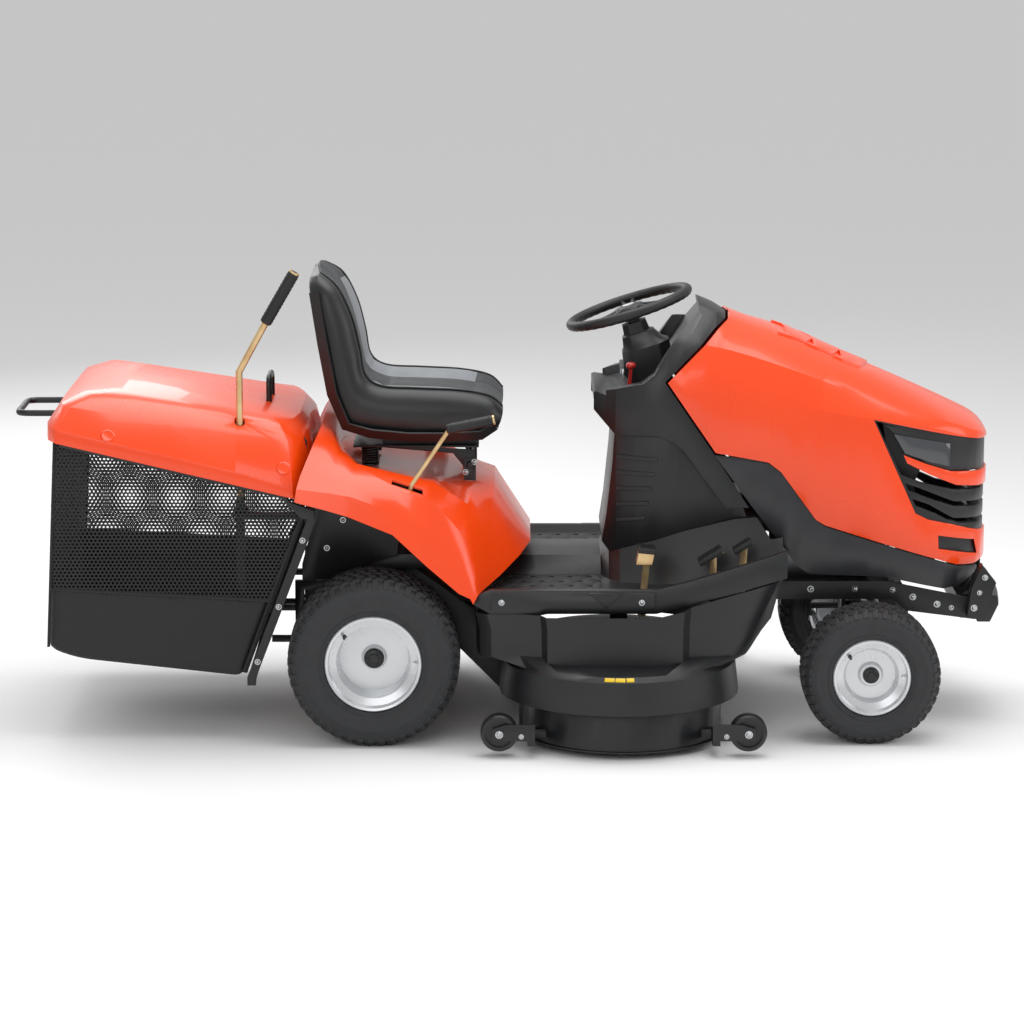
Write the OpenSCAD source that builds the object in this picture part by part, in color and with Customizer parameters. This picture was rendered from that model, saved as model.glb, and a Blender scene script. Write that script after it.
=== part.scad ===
// Riding lawn mower with a rear grass collector.
// Millimetres. +X is forward, +Y is the operator's left, +Z is up, and z = 0 is the ground.

/* [Running gear] */
// Distance between the axles
wheelbase = 1321; // [1260:1:1380]
// Outside diameter of a rear tyre
rear_tyre_d = 458; // [380:1:500]
// Width of a rear tyre
rear_tyre_w = 215; // [180:1:240]
// Middle plane of a rear tyre from the centre line
rear_tyre_y = 393; // [380:1:410]
// Outside diameter of a front tyre
front_tyre_d = 370; // [320:1:390]
// Width of a front tyre
front_tyre_w = 150; // [120:1:165]
// Middle plane of a front tyre from the centre line
front_tyre_y = 398; // [385:1:420]
// Diameter of a rear rim over its flange
rear_rim_d = 258; // [220:1:290]
// Diameter of a front rim over its flange
front_rim_d = 208; // [180:1:240]
// Radius of every wheel axle
axle_r = 12; // [10:0.5:14]

/* [Bodywork] */
// Widest width of the hood
hood_w = 550; // [500:1:580]
// Wall of the painted and moulded covers
wall = 5; // [4:0.5:6]
// Gap between the hood and the covers round it
seam = 4; // [3:0.5:6]
// Overall width of the footplate
foot_w = 940; // [900:1:980]
// Height of the footplate's floor
floor_z = 400; // [396:1:404]
// Overall width of the rear fender over its lips
fender_w = 956; // [930:1:980]

/* [Collector] */
// Width of the collector's cover
cover_w = 860; // [780:1:900]
// Height of the cover's lip
lip_h = 36; // [28:1:44]
// Distance that the grass bag sits inside the cover's lip
bag_inset = 24; // [20:1:32]
// Thickness of the bag's fabric
bag_t = 3; // [2:0.5:4]

/* [Cutting deck] */
// Radius of the deck's rounded ends
deck_r = 266; // [262:1:280]
// Overall width of the deck's shell
deck_w = 1222; // [1160:1:1230]
// Distance of each spindle from the centre line
spindle_y = 268; // [250:1:280]
// Length of a blade
blade_len = 510; // [400:1:524]
// Height of the chamber's wall
deck_h = 100; // [85:1:105]
// Diameter of an anti-scalp wheel
gauge_d = 98; // [84:1:104]

/* [Operator's place] */
// Outside diameter of the steering wheel
steer_d = 358; // [320:1:380]
// Lean of the steering column from the vertical, in degrees
steer_tilt = 17.5; // [14:0.5:21]
// Diameter of a seat spring
spring_d = 50; // [40:1:56]
// Width of the seat
seat_w = 500; // [440:1:520]

/* [Hidden] */
$fn = 48;
near = -1; // side of the operator's right hand
far = 1;
eps = 0.01;
face_gap = 0.3; // running gap between flat faces
bore_gap = 0.08; // radial clearance of a shaft in its bore

rear_axle_x = -357;
front_axle_x = rear_axle_x + wheelbase;
rear_axle_z = rear_tyre_d / 2;
front_axle_z = front_tyre_d / 2;
end_x = 1340; // half of the overall length

// ---------------------------------------------------------------- helpers
// Cubic through a table of [x, value], so that a rail of the bodywork runs smoothly.
function seg(t, x, i = 0) = i >= len(t) - 2 || x < t[i + 1][0] ? i : seg(t, x, i + 1);
function slope(t, i) = let(a = max(i - 1, 0), b = min(i + 1, len(t) - 1))
    (t[b][1] - t[a][1]) / (t[b][0] - t[a][0]);
function rail(t, x) = x <= t[0][0] ? t[0][1] : x >= t[len(t) - 1][0] ? t[len(t) - 1][1] :
    let(i = seg(t, x), h = t[i + 1][0] - t[i][0], u = (x - t[i][0]) / h)
    (2 * u ^ 3 - 3 * u ^ 2 + 1) * t[i][1] + (u ^ 3 - 2 * u ^ 2 + u) * h * slope(t, i)
    + (3 * u ^ 2 - 2 * u ^ 3) * t[i + 1][1] + (u ^ 3 - u ^ 2) * h * slope(t, i + 1);
// A curve through 3D points, with steps points from each one to the next.
function spline_at(p, i, u) = let(n = len(p) - 1, a = p[max(i - 1, 0)], b = p[i], c = p[min(i + 1, n)],
    d = p[min(i + 2, n)])
    0.5 * (2 * b + (c - a) * u + (2 * a - 5 * b + 4 * c - d) * u ^ 2 + (3 * b - a - 3 * c + d) * u ^ 3);
function spline(p, steps) = [for (i = [0:len(p) - 2], k = [0:steps - 1]) spline_at(p, i, k / steps),
    p[len(p) - 1]];
function flip_y(p) = [p[0], -p[1], p[2]];
function both_sides(half) = concat(half, [for (i = [len(half) - 2:-1:0]) flip_y(half[i])]);

// Solid through rings that have the same number of points, turned so that its faces look outward.
function total(v, i = 0) = i == len(v) - 1 ? v[i] : v[i] + total(v, i + 1);
function area(r) = total([for (i = [0:len(r) - 1]) cross(r[i], r[(i + 1) % len(r)])]);
function reverse(r) = [for (i = [len(r) - 1:-1:0]) r[i]];
module loft(loops) {
    along = total(loops[len(loops) - 1]) - total(loops[0]);
    rings = area(loops[0]) * along > 0 ? loops : [for (r = loops) reverse(r)];
    n = len(rings[0]);
    m = len(rings);
    polyhedron(points = [for (r = rings) each r], faces = [
        [for (i = [0:n - 1]) i],
        [for (i = [n - 1:-1:0]) (m - 1) * n + i],
        for (j = [0:m - 2], i = [0:n - 1])
            let(a = j * n + i, b = j * n + (i + 1) % n) each [[a, a + n, b], [b, a + n, b + n]]]);
}
// Closed skin of thickness t behind a grid of points.
function grid_normal(g, i, j) = let(r = len(g) - 1, c = len(g[0]) - 1,
    n = cross(g[min(i + 1, r)][j] - g[max(i - 1, 0)][j], g[i][min(j + 1, c)] - g[i][max(j - 1, 0)]))
    n / norm(n);
module skin(g, t) {
    r = len(g);
    c = len(g[0]);
    inner = [for (i = [0:r - 1], j = [0:c - 1]) g[i][j] + t * grid_normal(g, i, j)];
    o = r * c;
    rim = concat([for (j = [0:c - 1]) j], [for (i = [1:r - 1]) i * c + c - 1],
        [for (j = [c - 2:-1:0]) (r - 1) * c + j], [for (i = [r - 2:-1:1]) i * c]);
    faces = [
        for (i = [0:r - 2], j = [0:c - 2]) let(a = i * c + j, b = a + 1, d = a + c, e = d + 1)
            each [[a, b, d], [b, e, d], [o + a, o + d, o + b], [o + b, o + d, o + e]],
        for (k = [0:len(rim) - 1]) let(a = rim[k], b = rim[(k + 1) % len(rim)])
            each [[a, o + a, b], [b, o + a, o + b]]];
    polyhedron(points = concat([for (row = g) each row], inner),
        faces = t < 0 ? faces : [for (f = faces) reverse(f)]);
}
// Flat plate with a side view's outline, from y0 to y1.
module plate(outline, y0, y1) {
    translate([0, max(y0, y1), 0]) rotate([90, 0, 0]) linear_extrude(abs(y1 - y0)) polygon(outline);
}
module plates(outline, y0, y1) {
    for (s = [near, far]) plate(outline, s * y0, s * y1);
}
module bar(a, b, r) {
    d = b - a;
    translate(a) rotate([0, acos(d[2] / norm(d)), atan2(d[1], d[0])]) cylinder(h = norm(d), r = r);
}
// Round bar through points, with a ball at each bend.
module rod(pts, r) {
    for (i = [0:len(pts) - 2]) bar(pts[i], pts[i + 1], r);
    if (len(pts) > 2) for (i = [1:len(pts) - 2]) translate(pts[i]) sphere(r = r + 0.2);
}
module box(lo, hi) {
    translate(lo) cube(hi - lo);
}
module across(x, z, y0, y1, r) {
    translate([x, min(y0, y1), z]) rotate([-90, 0, 0]) cylinder(h = abs(y1 - y0), r = r);
}

// ---------------------------------------------------------------- hood, nose and console
side_y = hood_w / 2;
nose_x = 1305;
// Rails of the body's section: half-width and height at each station along X.
top_z = [[200, 1140], [517, 1150], [598, 1108], [710, 1068], [996, 953], [1254, 836], [1290, 808], [nose_x, 785]];
shoulder_y = [[200, 100], [517, 118], [614, 125], [900, 140], [1200, 142], [1275, 122], [nose_x, 53]];
shoulder_z = [[200, 1120], [517, 1140], [614, 1090], [763, 1042], [946, 957], [1188, 846], [1275, 805], [nose_x, 778]];
crease_y = [[228, 0.55], [330, 0.74], [527, 0.855], [957, 0.845], [1161, 0.79], [1240, 0.68], [1285, 0.5], [nose_x, 0.222]];
crease_z = [[228, 1050], [527, 1042], [782, 968], [957, 899], [1161, 838], [1272, 796], [nose_x, 771]];
belt_y = [[228, 0.62], [290, 0.82], [425, 0.995], [700, 1], [974, 0.985], [1130, 0.9], [1220, 0.775], [1275, 0.6], [1296, 0.4], [nose_x, 0.233]];
belt_z = [[228, 930], [425, 945], [693, 893], [974, 848], [1160, 814], [nose_x, 764]];
sill_y = [[228, 0.6], [290, 0.8], [425, 0.975], [974, 0.95], [1130, 0.87], [1220, 0.75], [1275, 0.585], [1296, 0.385], [nose_x, 0.205]];
sill_z = 372;
body_x = [205, 228, 258, 290, 340, 390, 425, 470, 520, 560, 600, 650, 710, 770, 840, 900, 960, 1020, 1080, 1130,
    1175, 1215, 1245, 1268, 1285, 1297, nose_x];

function section(x, off) = let(in_x = x - off * max(0, (x - 1130) / (nose_x - 1130)),
    half = [[sill_y_at(x) - off, sill_z - (off > 0 ? 20 : 0)], [belt_y_at(x) - off, rail(belt_z, x) - off * 0.3],
        [side_y * rail(crease_y, x) - off * 0.9, rail(crease_z, x) - off * 0.6],
        [rail(shoulder_y, x) - off * 0.4, rail(shoulder_z, x) - off], [0, rail(top_z, x) - off]])
    [for (p = half) [in_x, -p[0], p[1]], for (i = [3:-1:0]) [in_x, half[i][0], half[i][1]]];
function belt_y_at(x) = side_y * rail(belt_y, x);
function sill_y_at(x) = side_y * rail(sill_y, x);

// Body of the hood and console, off millimetres inside the outer surface, between two stations.
module body(off = 0, from_x = 205, to_x = nose_x) {
    loft([for (x = body_x) if (x >= from_x && x <= to_x) section(x, off)]);
}
reach = 400;
hood_outline = [[598, 1160], [598, 1102], [562, 1076], [425, 945], [554, 757], [695, 731], [730, 704], [825, 574],
    [849, 559], [1130, 467], [1212, 440], [1262, 436], [1330, 452], [1330, 1160]];
grille_outline = [[975, 846], [1094, 587], [1129, 569], [1200, 551], [1330, 508], [1330, 766], [1200, 795]];
brow = [[1058, 748], [1120, 722], [1190, 698], [1330, 686], [1330, 642], [1205, 660], [1130, 693], [1068, 726]];
fog_slot = [[1158, 524], [1262, 503], [1272, 462], [1160, 487]];
bezel_outline = [[560, 745], [697, 727], [733, 699], [828, 570], [851, 554], [1131, 462], [1213, 435], [1262, 431],
    [1272, 420], [1213, 384], [1167, 380], [1003, 424], [816, 430], [781, 455], [752, 495], [657, 614]];
console_outline = [[230, 905], [230, 857], [286, 797], [401, 800], [440, 785], [470, 760], [581, 606], [645, 606],
    [553, 748], [547, 757], [418, 945], [556, 1080], [592, 1104], [592, 1116], [520, 1152], [505, 1140], [418, 1010], [390, 962],
    [358, 938], [273, 917]];
hinge_x = 1285;
hinge_z = 414;
hinge_y = 130;
hinge_r = 7;

module hood_window() {
    difference() {
        plate(grille_outline, -reach, reach);
        plate(brow, -reach, reach);
    }
    plates(fog_slot, 110, reach);
}
// Orange hood: skin of the body, cut to its outline, with the grille's windows and three vent steps.
module hood() color("orangered") {
    difference() {
        intersection() {
            body(0, 390);
            plate(hood_outline, -reach, reach);
        }
        translate([-eps, 0, 0]) body(wall, 390);
        hood_window();
    }
    hood_ribs();
}
// Chevron ribs on the top of the hood.
rib_x = [775, 850, 925];
module hood_ribs() {
    for (x = rib_x) intersection() {
        difference() {
            translate([0, 0, 7]) body(0, 640, 1100);
            body(1.5, 600, 1140);
        }
        translate([x, 0, 0]) linear_extrude(1200)
            polygon([[56, 0], [28, 100], [-22, 118], [-50, 118], [-22, 86], [-22, -86], [-50, -118], [-22, -118], [28, -100]]);
    }
}
slat_n = 3;
// Outline of louvre k, counted down from the brow: thin on the flank and deep at the nose.
function slat_outline(k) = let(x0 = 1034 + 22 * k, z0 = 696 - 44 * k, z1 = 634 - 46 * k)
    [[x0, z0 + 6], [x0 + 70, z0 - 24], [1200, z1 + 12], [1330, z1], [1330, z1 - 32], [1200, z1 - 20], [x0 + 74, z0 - 42], [x0 + 6, z0 - 16]];
module grille_skin() {
    difference() {
        body(wall + face_gap, 940);
        body(wall + 15, 940, 1285);
    }
}
// Black grille: frame round the windows, louvres, lamp housings and hinge arms.
module grille() color("dimgray") {
    intersection() {
        grille_skin();
        union() {
            difference() {
                plate(offset_outline(grille_outline, 12), -reach, reach);
                plate(offset_outline(grille_outline, -9), -reach, reach);
            }
            plate([[1005, 832], [1330, 772], [1330, 690], [1185, 698], [1128, 716]], -reach, reach);
            for (k = [0:slat_n - 1]) plate(slat_outline(k), -reach, reach);
            plates(offset_outline(fog_slot, 15), 110, reach);
        }
    }
    for (s = [near, far]) {
        hinge_arm(s);
    }
}
// Outline grown about its own middle, by d millimetres at its far corners.
function middle(o) = [for (k = [0, 1]) ([for (p = o) 1] * [for (p = o) p[k]]) / len(o)];
function offset_outline(o, d) = let(c = middle(o)) [for (p = o) let(v = p - c) c + v * (1 + d / norm(v))];
module hinge_arm(s) {
    difference() {
        intersection() {
            plate([[hinge_x - 13, hinge_z - 13], [hinge_x + 11, hinge_z - 13], [hinge_x + 11, 508], [hinge_x - 13, 508]],
                s * (hinge_y - 30), s * (hinge_y - 24));
            body(wall + face_gap, 1130);
        }
        across(hinge_x, hinge_z, -reach, reach, hinge_r + bore_gap);
    }
}
module hood_bezels() color("dimgray") {
    difference() {
        union() {
            intersection() {
                body(2, 520);
                plate(bezel_outline, -reach, reach);
            }
            intersection() {
                body(wall + face_gap, 520);
                plate(offset_outline(bezel_outline, 10), -reach, reach);
            }
        }
        body(wall + 7, 520);
        box([500, -80, 300], [1400, 80, 800]);
        box([1225, -hinge_y - 12, 300], [1400, hinge_y + 12, 800]);
    }
}
lamp_outline = [[1030, 806], [1118, 788], [1186, 774], [1186, 712], [1132, 726], [1062, 752]];
module headlamps() color("gainsboro") {
    intersection() {
        difference() {
            body(wall - 3, 940);
            body(wall, 940);
        }
        plates(lamp_outline, 120, reach);
    }
}
// Moulded dash and legs that carry the hood's rear edge.
dash_y = 195;
module console() color("darkslategray") {
    difference() {
        intersection() {
            body(wall + seam - 1, 205, 710);
            plate(console_outline, -reach, reach);
        }
        difference() {
            body(2 * wall + seam - 1, 205, 710);
            plate([[200, 880], [360, 900], [410, 925], [440, 960], [545, 1115], [630, 1115], [630, 1160], [200, 1160]],
                -reach, reach);
        }
        plate([[200, 918], [273, 897], [362, 916], [402, 938], [432, 975], [520, 1108], [500, 1200], [200, 1200]],
            -dash_y, dash_y);
        on_column() translate([0, 0, -400]) cylinder(h = 300, r = 58 + face_gap);
        across(throttle_x, throttle_z, throttle_y - 16, throttle_y + 16, 4);
        translate([key_x, key_y, 850]) cylinder(h = 120, r = 9.5);
        translate([switch_x, switch_y, 850]) cylinder(h = 120, r = 9.5);
        box([throttle_x - 22, throttle_y - 5, 850], [throttle_x + 42, throttle_y + 5, 1000]);
    }
}
throttle_x = 322;
throttle_y = -130;
throttle_z = 893;
key_x = 318;
key_y = 120;
switch_x = 370;
switch_y = 140;
steer_x = 329;
steer_z = 1113;
module on_column() {
    translate([steer_x, 0, steer_z]) rotate([0, -steer_tilt, 0]) children();
}
knee_outline = [[292, 868], [284, 775], [280, 715], [265, 572], [253, 497], [272, 472.5], [300, 482.5], [390, 512.5],
    [470, 540.5], [604, 574.5], [640, 578.3],
    [632, 600], [577, 700], [520, 800], [440, 868]];
knee_inner = [[297, 870], [289, 775], [285, 715], [270, 572], [258, 500], [277, 460], [700, 540], [700, 900]];
// Panel in front of the operator's shins, with raised ribs that wrap round it.
module knee_panel() color("dimgray") {
    difference() {
        intersection() {
            body(22, 205, 710);
            plate(knee_outline, -reach, reach);
        }
        intersection() {
            body(26, 205, 710);
            plate(knee_inner, -reach, reach);
        }
    }
    for (k = [0:4]) intersection() {
        difference() {
            body(18, 205, 710);
            body(22 - eps, 205, 710);
        }
        plate([[290, 742 - 44 * k], [400 - 8 * k, 738 - 40 * k], [400 - 8 * k, 728 - 40 * k], [290, 730 - 44 * k]], -reach, reach);
    }
}
shaft_r = 12;
module steering_column() color("dimgray") {
    on_column() difference() {
        union() {
            translate([0, 0, -206]) cylinder(h = 150, r1 = 58, r2 = 44);
            translate([0, 0, -56]) cylinder(h = 14, r = 36);
        }
        translate([0, 0, -210]) cylinder(h = 200, r = shaft_r + bore_gap);
    }
}
// Rim, hub and three spokes on a shaft that turns inside the column.
module steering_wheel() color("black") {
    on_column() {
        rotate_extrude() translate([steer_d / 2 - 14, 0]) circle(r = 14, $fn = 24);
        translate([0, 0, -34]) cylinder(h = 42, r1 = 30, r2 = 44);
        translate([0, 0, -195]) cylinder(h = 170, r = shaft_r);
        for (a = [90, 210, 330]) rotate([0, 0, a]) difference() {
            box([30, -17, -14], [steer_d / 2 - 16, 17, -4]);
            translate([steer_d / 4 + 12, 0, -20]) cylinder(h = 30, r = 9);
        }
    }
}
module throttle_lever() color("firebrick") {
    across(throttle_x, throttle_z, throttle_y - 5 + face_gap, throttle_y + 5 - face_gap, 9);
    plate([[throttle_x - 4, throttle_z], [throttle_x + 5, throttle_z + 72], [throttle_x + 13, throttle_z + 72], [throttle_x + 8, throttle_z]],
        throttle_y - 2, throttle_y + 2);
    translate([throttle_x + 9, throttle_y, throttle_z + 78]) scale([1, 1.3, 0.7]) sphere(r = 14, $fn = 24);
}
module ignition_key() color("silver") {
    translate([key_x, key_y, 880]) cylinder(h = 44, r = 9.4);
    box([key_x - 11, key_y - 1.5, 923], [key_x + 11, key_y + 1.5, 950]);
}
module blade_switch() color("gold") {
    translate([switch_x, switch_y, 890]) cylinder(h = 56, r = 9.4);
    translate([switch_x, switch_y, 945]) cylinder(h = 14, r1 = 18, r2 = 21);
}

// ---------------------------------------------------------------- frame and engine
rail_in = 212;
rail_out = 222;
front_x = 1266 - face_gap;
rail_top = floor_z - 4 - face_gap;
frame_outline = [[-130, 340], [640, 340], [660, 346], [1040, 346], [1078, 314], [1190, 300], [front_x, 290], [front_x, 346],
    [1076, 384], [1030, rail_top], [-44, rail_top], [-102, rail_top - 1.5], [-180, 470], [-440, 470], [-440, 432], [-200, 432]];
module frame() color("dimgray") {
    for (s = [near, far]) {
        plate(frame_outline, s * rail_in, s * rail_out);
        plate([[1240, 290], [front_x, 290], [front_x, 368], [1296, 404], [1294, 424], [1276, 424], [1262, 380], [1240, 346]],
            s * (hinge_y - 10), s * (hinge_y - 4));
        across(hinge_x, hinge_z, s * (hinge_y - 38), s * (hinge_y - 4), hinge_r);
        for (z = [326, 239]) box([z == 326 ? -612 : -640, s * 231 - 9, z - 8], [-552, s * 231 + 9, z + 8]);
        plate([[-396, 440], [-436, 440], [-436, 400], [-576, 400], [-576, 226], [-552, 226], [-552, 376], [-396, 376]],
            s * (rail_out - 2), s * (rail_out + 20));
    }
    box([1226, -rail_in, 292], [front_x, rail_in, 338]);
    box([600, -rail_in, 344], [640, rail_in, 390]);
    difference() {
        box([690, -rail_in, 386], [1030, rail_in, 394]);
        translate([pulley_x, 0, 300]) cylinder(h = 200, r = 50);
    }
    // pivot bracket of the front axle
    for (x = [front_axle_x - 46, front_axle_x + 36]) box([x, -50, 230], [x + 10, 50, 388]);
    translate([front_axle_x - 46, 0, pivot_z]) rotate([0, 90, 0]) cylinder(h = 92, r = 12);
    // shelf of the battery
    box([-300, -rail_in - 8, 464], [-190, rail_in + 8, 470]);
    seat_mount();
    // pivots of the pedals
    for (p = [[brake_x, brake_z], [forward_x, forward_z], [reverse_x, reverse_z]])
        across(p[0], p[1], -rail_out + 3, -pedal_y - 18, pedal_pin);
    // hangers on which the deck slides up
    box([deck_x - 20, -rail_in - 2, rail_top - 9], [deck_x + 20, rail_in + 2, rail_top]);
    for (s = [near, far]) box([deck_x - 20, s * 126 - 3 + (s > 0 ? face_gap : 0), 176], [deck_x + 20, s * 126 + 3 - (s < 0 ? face_gap : 0), rail_top - 2]);
}
pivot_z = 262;
bumper_bar = [[1266, 292], [1300, 292], [1322, 340], [1318, 365], [1266, 365]];
bumper_horn = [[1237, 306], [1278, 295], [1315, 399], [1275, 449], [1247, 382]];
module bumper() color("dimgray") {
    loft([for (p = [[-262, 0], [-190, 10], [-90, 17], [0, 18], [90, 17], [190, 10], [262, 0]])
        [for (q = bumper_bar) [q[0] + p[1] * (q[0] - 1266) / 56, p[0], q[1]]]]);
    plates(bumper_horn, 226, 262);
}
pulley_x = 850;
// Twin-cylinder engine: crankcase, finned cylinders, blower housing, air filter and muffler.
module engine() color("slategray") {
    box([730, -150, 394 + face_gap], [980, 150, 500]);
    translate([pulley_x, 0, 500]) cylinder(h = 90, r = 150);
    translate([pulley_x, 0, 590]) cylinder(h = 84, r1 = 158, r2 = 140);
    translate([pulley_x, 0, 674]) cylinder(h = 16, r = 96);
    translate([pulley_x, 0, 330]) cylinder(h = 80, r = shaft_r);
    box([714, prop_y - 20, 284], [740, prop_y + 20, 386 - face_gap]);
    for (s = [near, far]) translate([930, s * 92, 545]) rotate([0, 0, s * 24]) {
        box([0, -48, -46], [150, 48, 46]);
        for (k = [0:6]) box([26 + 17 * k, -60, -58], [32 + 17 * k, 60, 58]);
    }
    box([700, -110, 690], [870, 110, 770]);
    across(1120, 448, -110, 110, 48);
    for (s = [near, far]) rod([[1060, s * 120, 500], [1100, s * 100, 470], [1120, s * 90, 448]], 14);
}
module engine_pulley() color("silver") {
    difference() {
        for (z = [340, 362]) translate([pulley_x, 0, z]) {
            cylinder(h = 9, r1 = 46, r2 = 38);
            translate([0, 0, 9]) cylinder(h = 9, r1 = 38, r2 = 46);
            translate([0, 0, 18]) cylinder(h = z == 340 ? 4 : 1, r = 30);
        }
        translate([pulley_x, 0, 330]) cylinder(h = 60, r = shaft_r + bore_gap);
    }
}
module battery() color("dimgray") {
    box([-285, -100, 470 + face_gap], [-150, 100, 620]);
    for (s = [near, far]) translate([-180, s * 74, 620]) cylinder(h = 16, r = 8);
}
tank_y = 310;
module fuel_tank() color("ivory") {
    box([-275, 234, 500], [-115, 346, 596]);
    box([-240, 205, 470 + face_gap], [-200, 240, 508]);
    translate([-195, tank_y, 596]) cylinder(h = 106, r = 24);
}
module fuel_cap() color("black") {
    translate([-195, tank_y, 702 + face_gap]) {
        cylinder(h = 24, r = 34);
        box([-30, -5, 24], [30, 5, 32]);
    }
}
module transaxle() color("slategray") {
    box([rear_axle_x - 90, -110, 160], [rear_axle_x + 57, 110, 286]);
    across(rear_axle_x, rear_axle_z, -180, 180, 52);
    for (s = [near, far]) {
        across(rear_axle_x, rear_axle_z, s * 170, s * 262, 34);
        across(rear_axle_x, rear_axle_z, s * 170, s * (rear_tyre_y + 8), axle_r);
        box([rear_axle_x - 40, s * (rail_in - 12 - face_gap) - 12, 250], [rear_axle_x + 40, s * (rail_in - 12 - face_gap) + 12, 440]);
    }
    box([rear_axle_x + 90, 156, 236], [rear_axle_x + 100, 176, 324]);
    box([rear_axle_x + 40, 100, 236], [rear_axle_x + 100, 176, 262]);
}
prop_y = 165;
prop_z = 302;
// Shaft from the engine's gearbox to the transaxle, with a coupling at each end.
module drive_shaft() color("silver") {
    x0 = rear_axle_x + 100 + face_gap;
    x1 = 714 - face_gap;
    translate([x0, prop_y, prop_z]) rotate([0, 90, 0]) cylinder(h = x1 - x0, r = 7);
    for (x = [x0, x1 - 26]) translate([x, prop_y, prop_z]) rotate([0, 90, 0]) cylinder(h = 26, r = 13);
}

// ---------------------------------------------------------------- fender, footplate and shields
// Half of the fender: each row runs from the centre line to the outer lip, rows from rear to front.
fw = fender_w / 2;
fender_rows = [
    [[-500, 0, 828], [-500, 150, 827], [-502, 235, 822], [-520, 345, 786], [-548, 430, 722], [-556, fw - 10, 694], [-561, fw, 662]],
    [[-474, 0, 812], [-474, 150, 811], [-476, 235, 808], [-492, 345, 778], [-514, 430, 718], [-520, fw - 10, 690], [-526, fw, 652]],
    [[-440, 0, 742], [-440, 150, 742], [-444, 235, 760], [-455, 345, 765], [-470, 430, 712], [-474, fw - 10, 684], [-480, fw, 640]],
    [[-400, 0, 694], [-400, 150, 694], [-402, 235, 718], [-408, 345, 742], [-412, 430, 704], [-414, fw - 10, 674], [-420, fw, 622]],
    [[-300, 0, 680], [-300, 150, 680], [-300, 235, 694], [-300, 345, 716], [-300, 430, 690], [-300, fw - 10, 632], [-304, fw, 574]],
    [[-200, 0, 670], [-200, 150, 670], [-200, 235, 678], [-200, 345, 690], [-200, 430, 656], [-206, fw - 10, 560], [-212, fw, 487]],
    [[-96, 0, 660], [-96, 150, 660], [-98, 235, 652], [-108, 345, 632], [-120, 430, 566], [-122, fw - 10, 484], [-130, fw, 416]],
    [[-38, 0, 648], [-38, 150, 646], [-46, 235, 612], [-62, 345, 548], [-84, 430, 474], [-92, fw - 10, 446], [-100, fw, 402]],
    [[60, 0, 494], [60, 150, 494], [30, 235, 470], [-20, 345, 440], [-66, 430, 416], [-80, fw - 10, 410], [-92, fw, 388]]];
function cross_row(r, k) = spline([for (p = r) p], k);
module fender() color("orangered") {
    difference() {
        skin([for (r = fender_rows) both_sides([for (k = [len(r) - 1:-1:0]) flip_y(r[k])])], -wall);
        box([-308, -413, 500], [-226, -387, 760]);
        translate([-195, tank_y, 640]) cylinder(h = 100, r = 28);
    }
}
fo = foot_w / 2;
// Each row of the footplate: x, rim underside, rim top, floor, pedestal top, and the pedestal's half-widths.
foot_rows = [[-93, 386, 402, 399, 440, 112, 150], [-47, 360, 421, floor_z, 446, 112, 150], [150, 360, 421, floor_z, 446, 112, 150],
    [252, 360, 421, floor_z, 446, 112, 150], [272, 360, 421, floor_z, 472, 178, 222], [300, 360, 421, floor_z, 482, 212, 250],
    [390, 360, 421, floor_z, 512, 240, 278], [470, 380, 441, 404, 540, 256, 292], [604, 416, 482, 424, 574, 262, 302],
    [666, 436, 502, 440, 580, 262, 308], [735, 456, 526, 462, 590, 262, 312]];
hood_path = [[622, 650], [722, 494], [756, 440], [900, 440], [900, 700], [600, 700]];
module footplate() color("dimgray") {
    difference() {
        skin([for (r = foot_rows) both_sides([[r[0], -fo, r[1]], [r[0], 8 - fo, r[2]], [r[0], 30 - fo, r[2] + 1],
            [r[0], 44 - fo, r[3]], [r[0], -r[6], r[3]], [r[0], -r[5], r[4]], [r[0], 0, r[4] + 1]])], -4);
        plate(hood_path, -286, 286);
        pedal_slots();
    }
}
module foot_mats() color("black") {
    for (s = [near, far]) difference() {
        box([-66, s * 290 - 120, floor_z + face_gap], [250, s * 290 + 120, floor_z + 4]);
        for (i = [0:5], j = [0:3]) translate([-40 + 52 * i + 26 * (j % 2), s * 200 + s * 60 * j, floor_z - 1]) cylinder(h = 8, r = 7);
    }
}
module side_valances() color("black") {
    for (s = [near, far]) {
        plate([[-44, 364], [386, 364], [386, 418], [-44, 418]], s * (fo + face_gap), s * (fo + 6));
        plate([[212, 418], [302, 418], [257, 378]], s * (fo + 5), s * (fo + 12));
    }
}
shield_x = 297;
shield_y = 322;
// Ring of the shield at one level: a corner path that swells into a round skirt.
function arc(cx, cy, r, n, z) = [for (i = [0:n]) let(a = 180 + 180 * i / n) [cx + r * cos(a), cy + r * sin(a), z]];
shield_top = [[-86, -322], [-88, -380], [-84, -440], [-56, -464], [20, -466], [86, -484], [100, -514], [190, -520],
    [297, -520], [390, -520], [462, -514], [480, -484], [560, -472], [650, -464], [712, -442], [732, -390], [736, -322]];
shield_mid = [[-80, -322], [-82, -380], [-72, -440], [-44, -462], [30, -466], [90, -484], [104, -516], [190, -522],
    [297, -522], [390, -522], [458, -516], [476, -484], [540, -470], [590, -458], [618, -426], [626, -380], [628, -322]];
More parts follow.
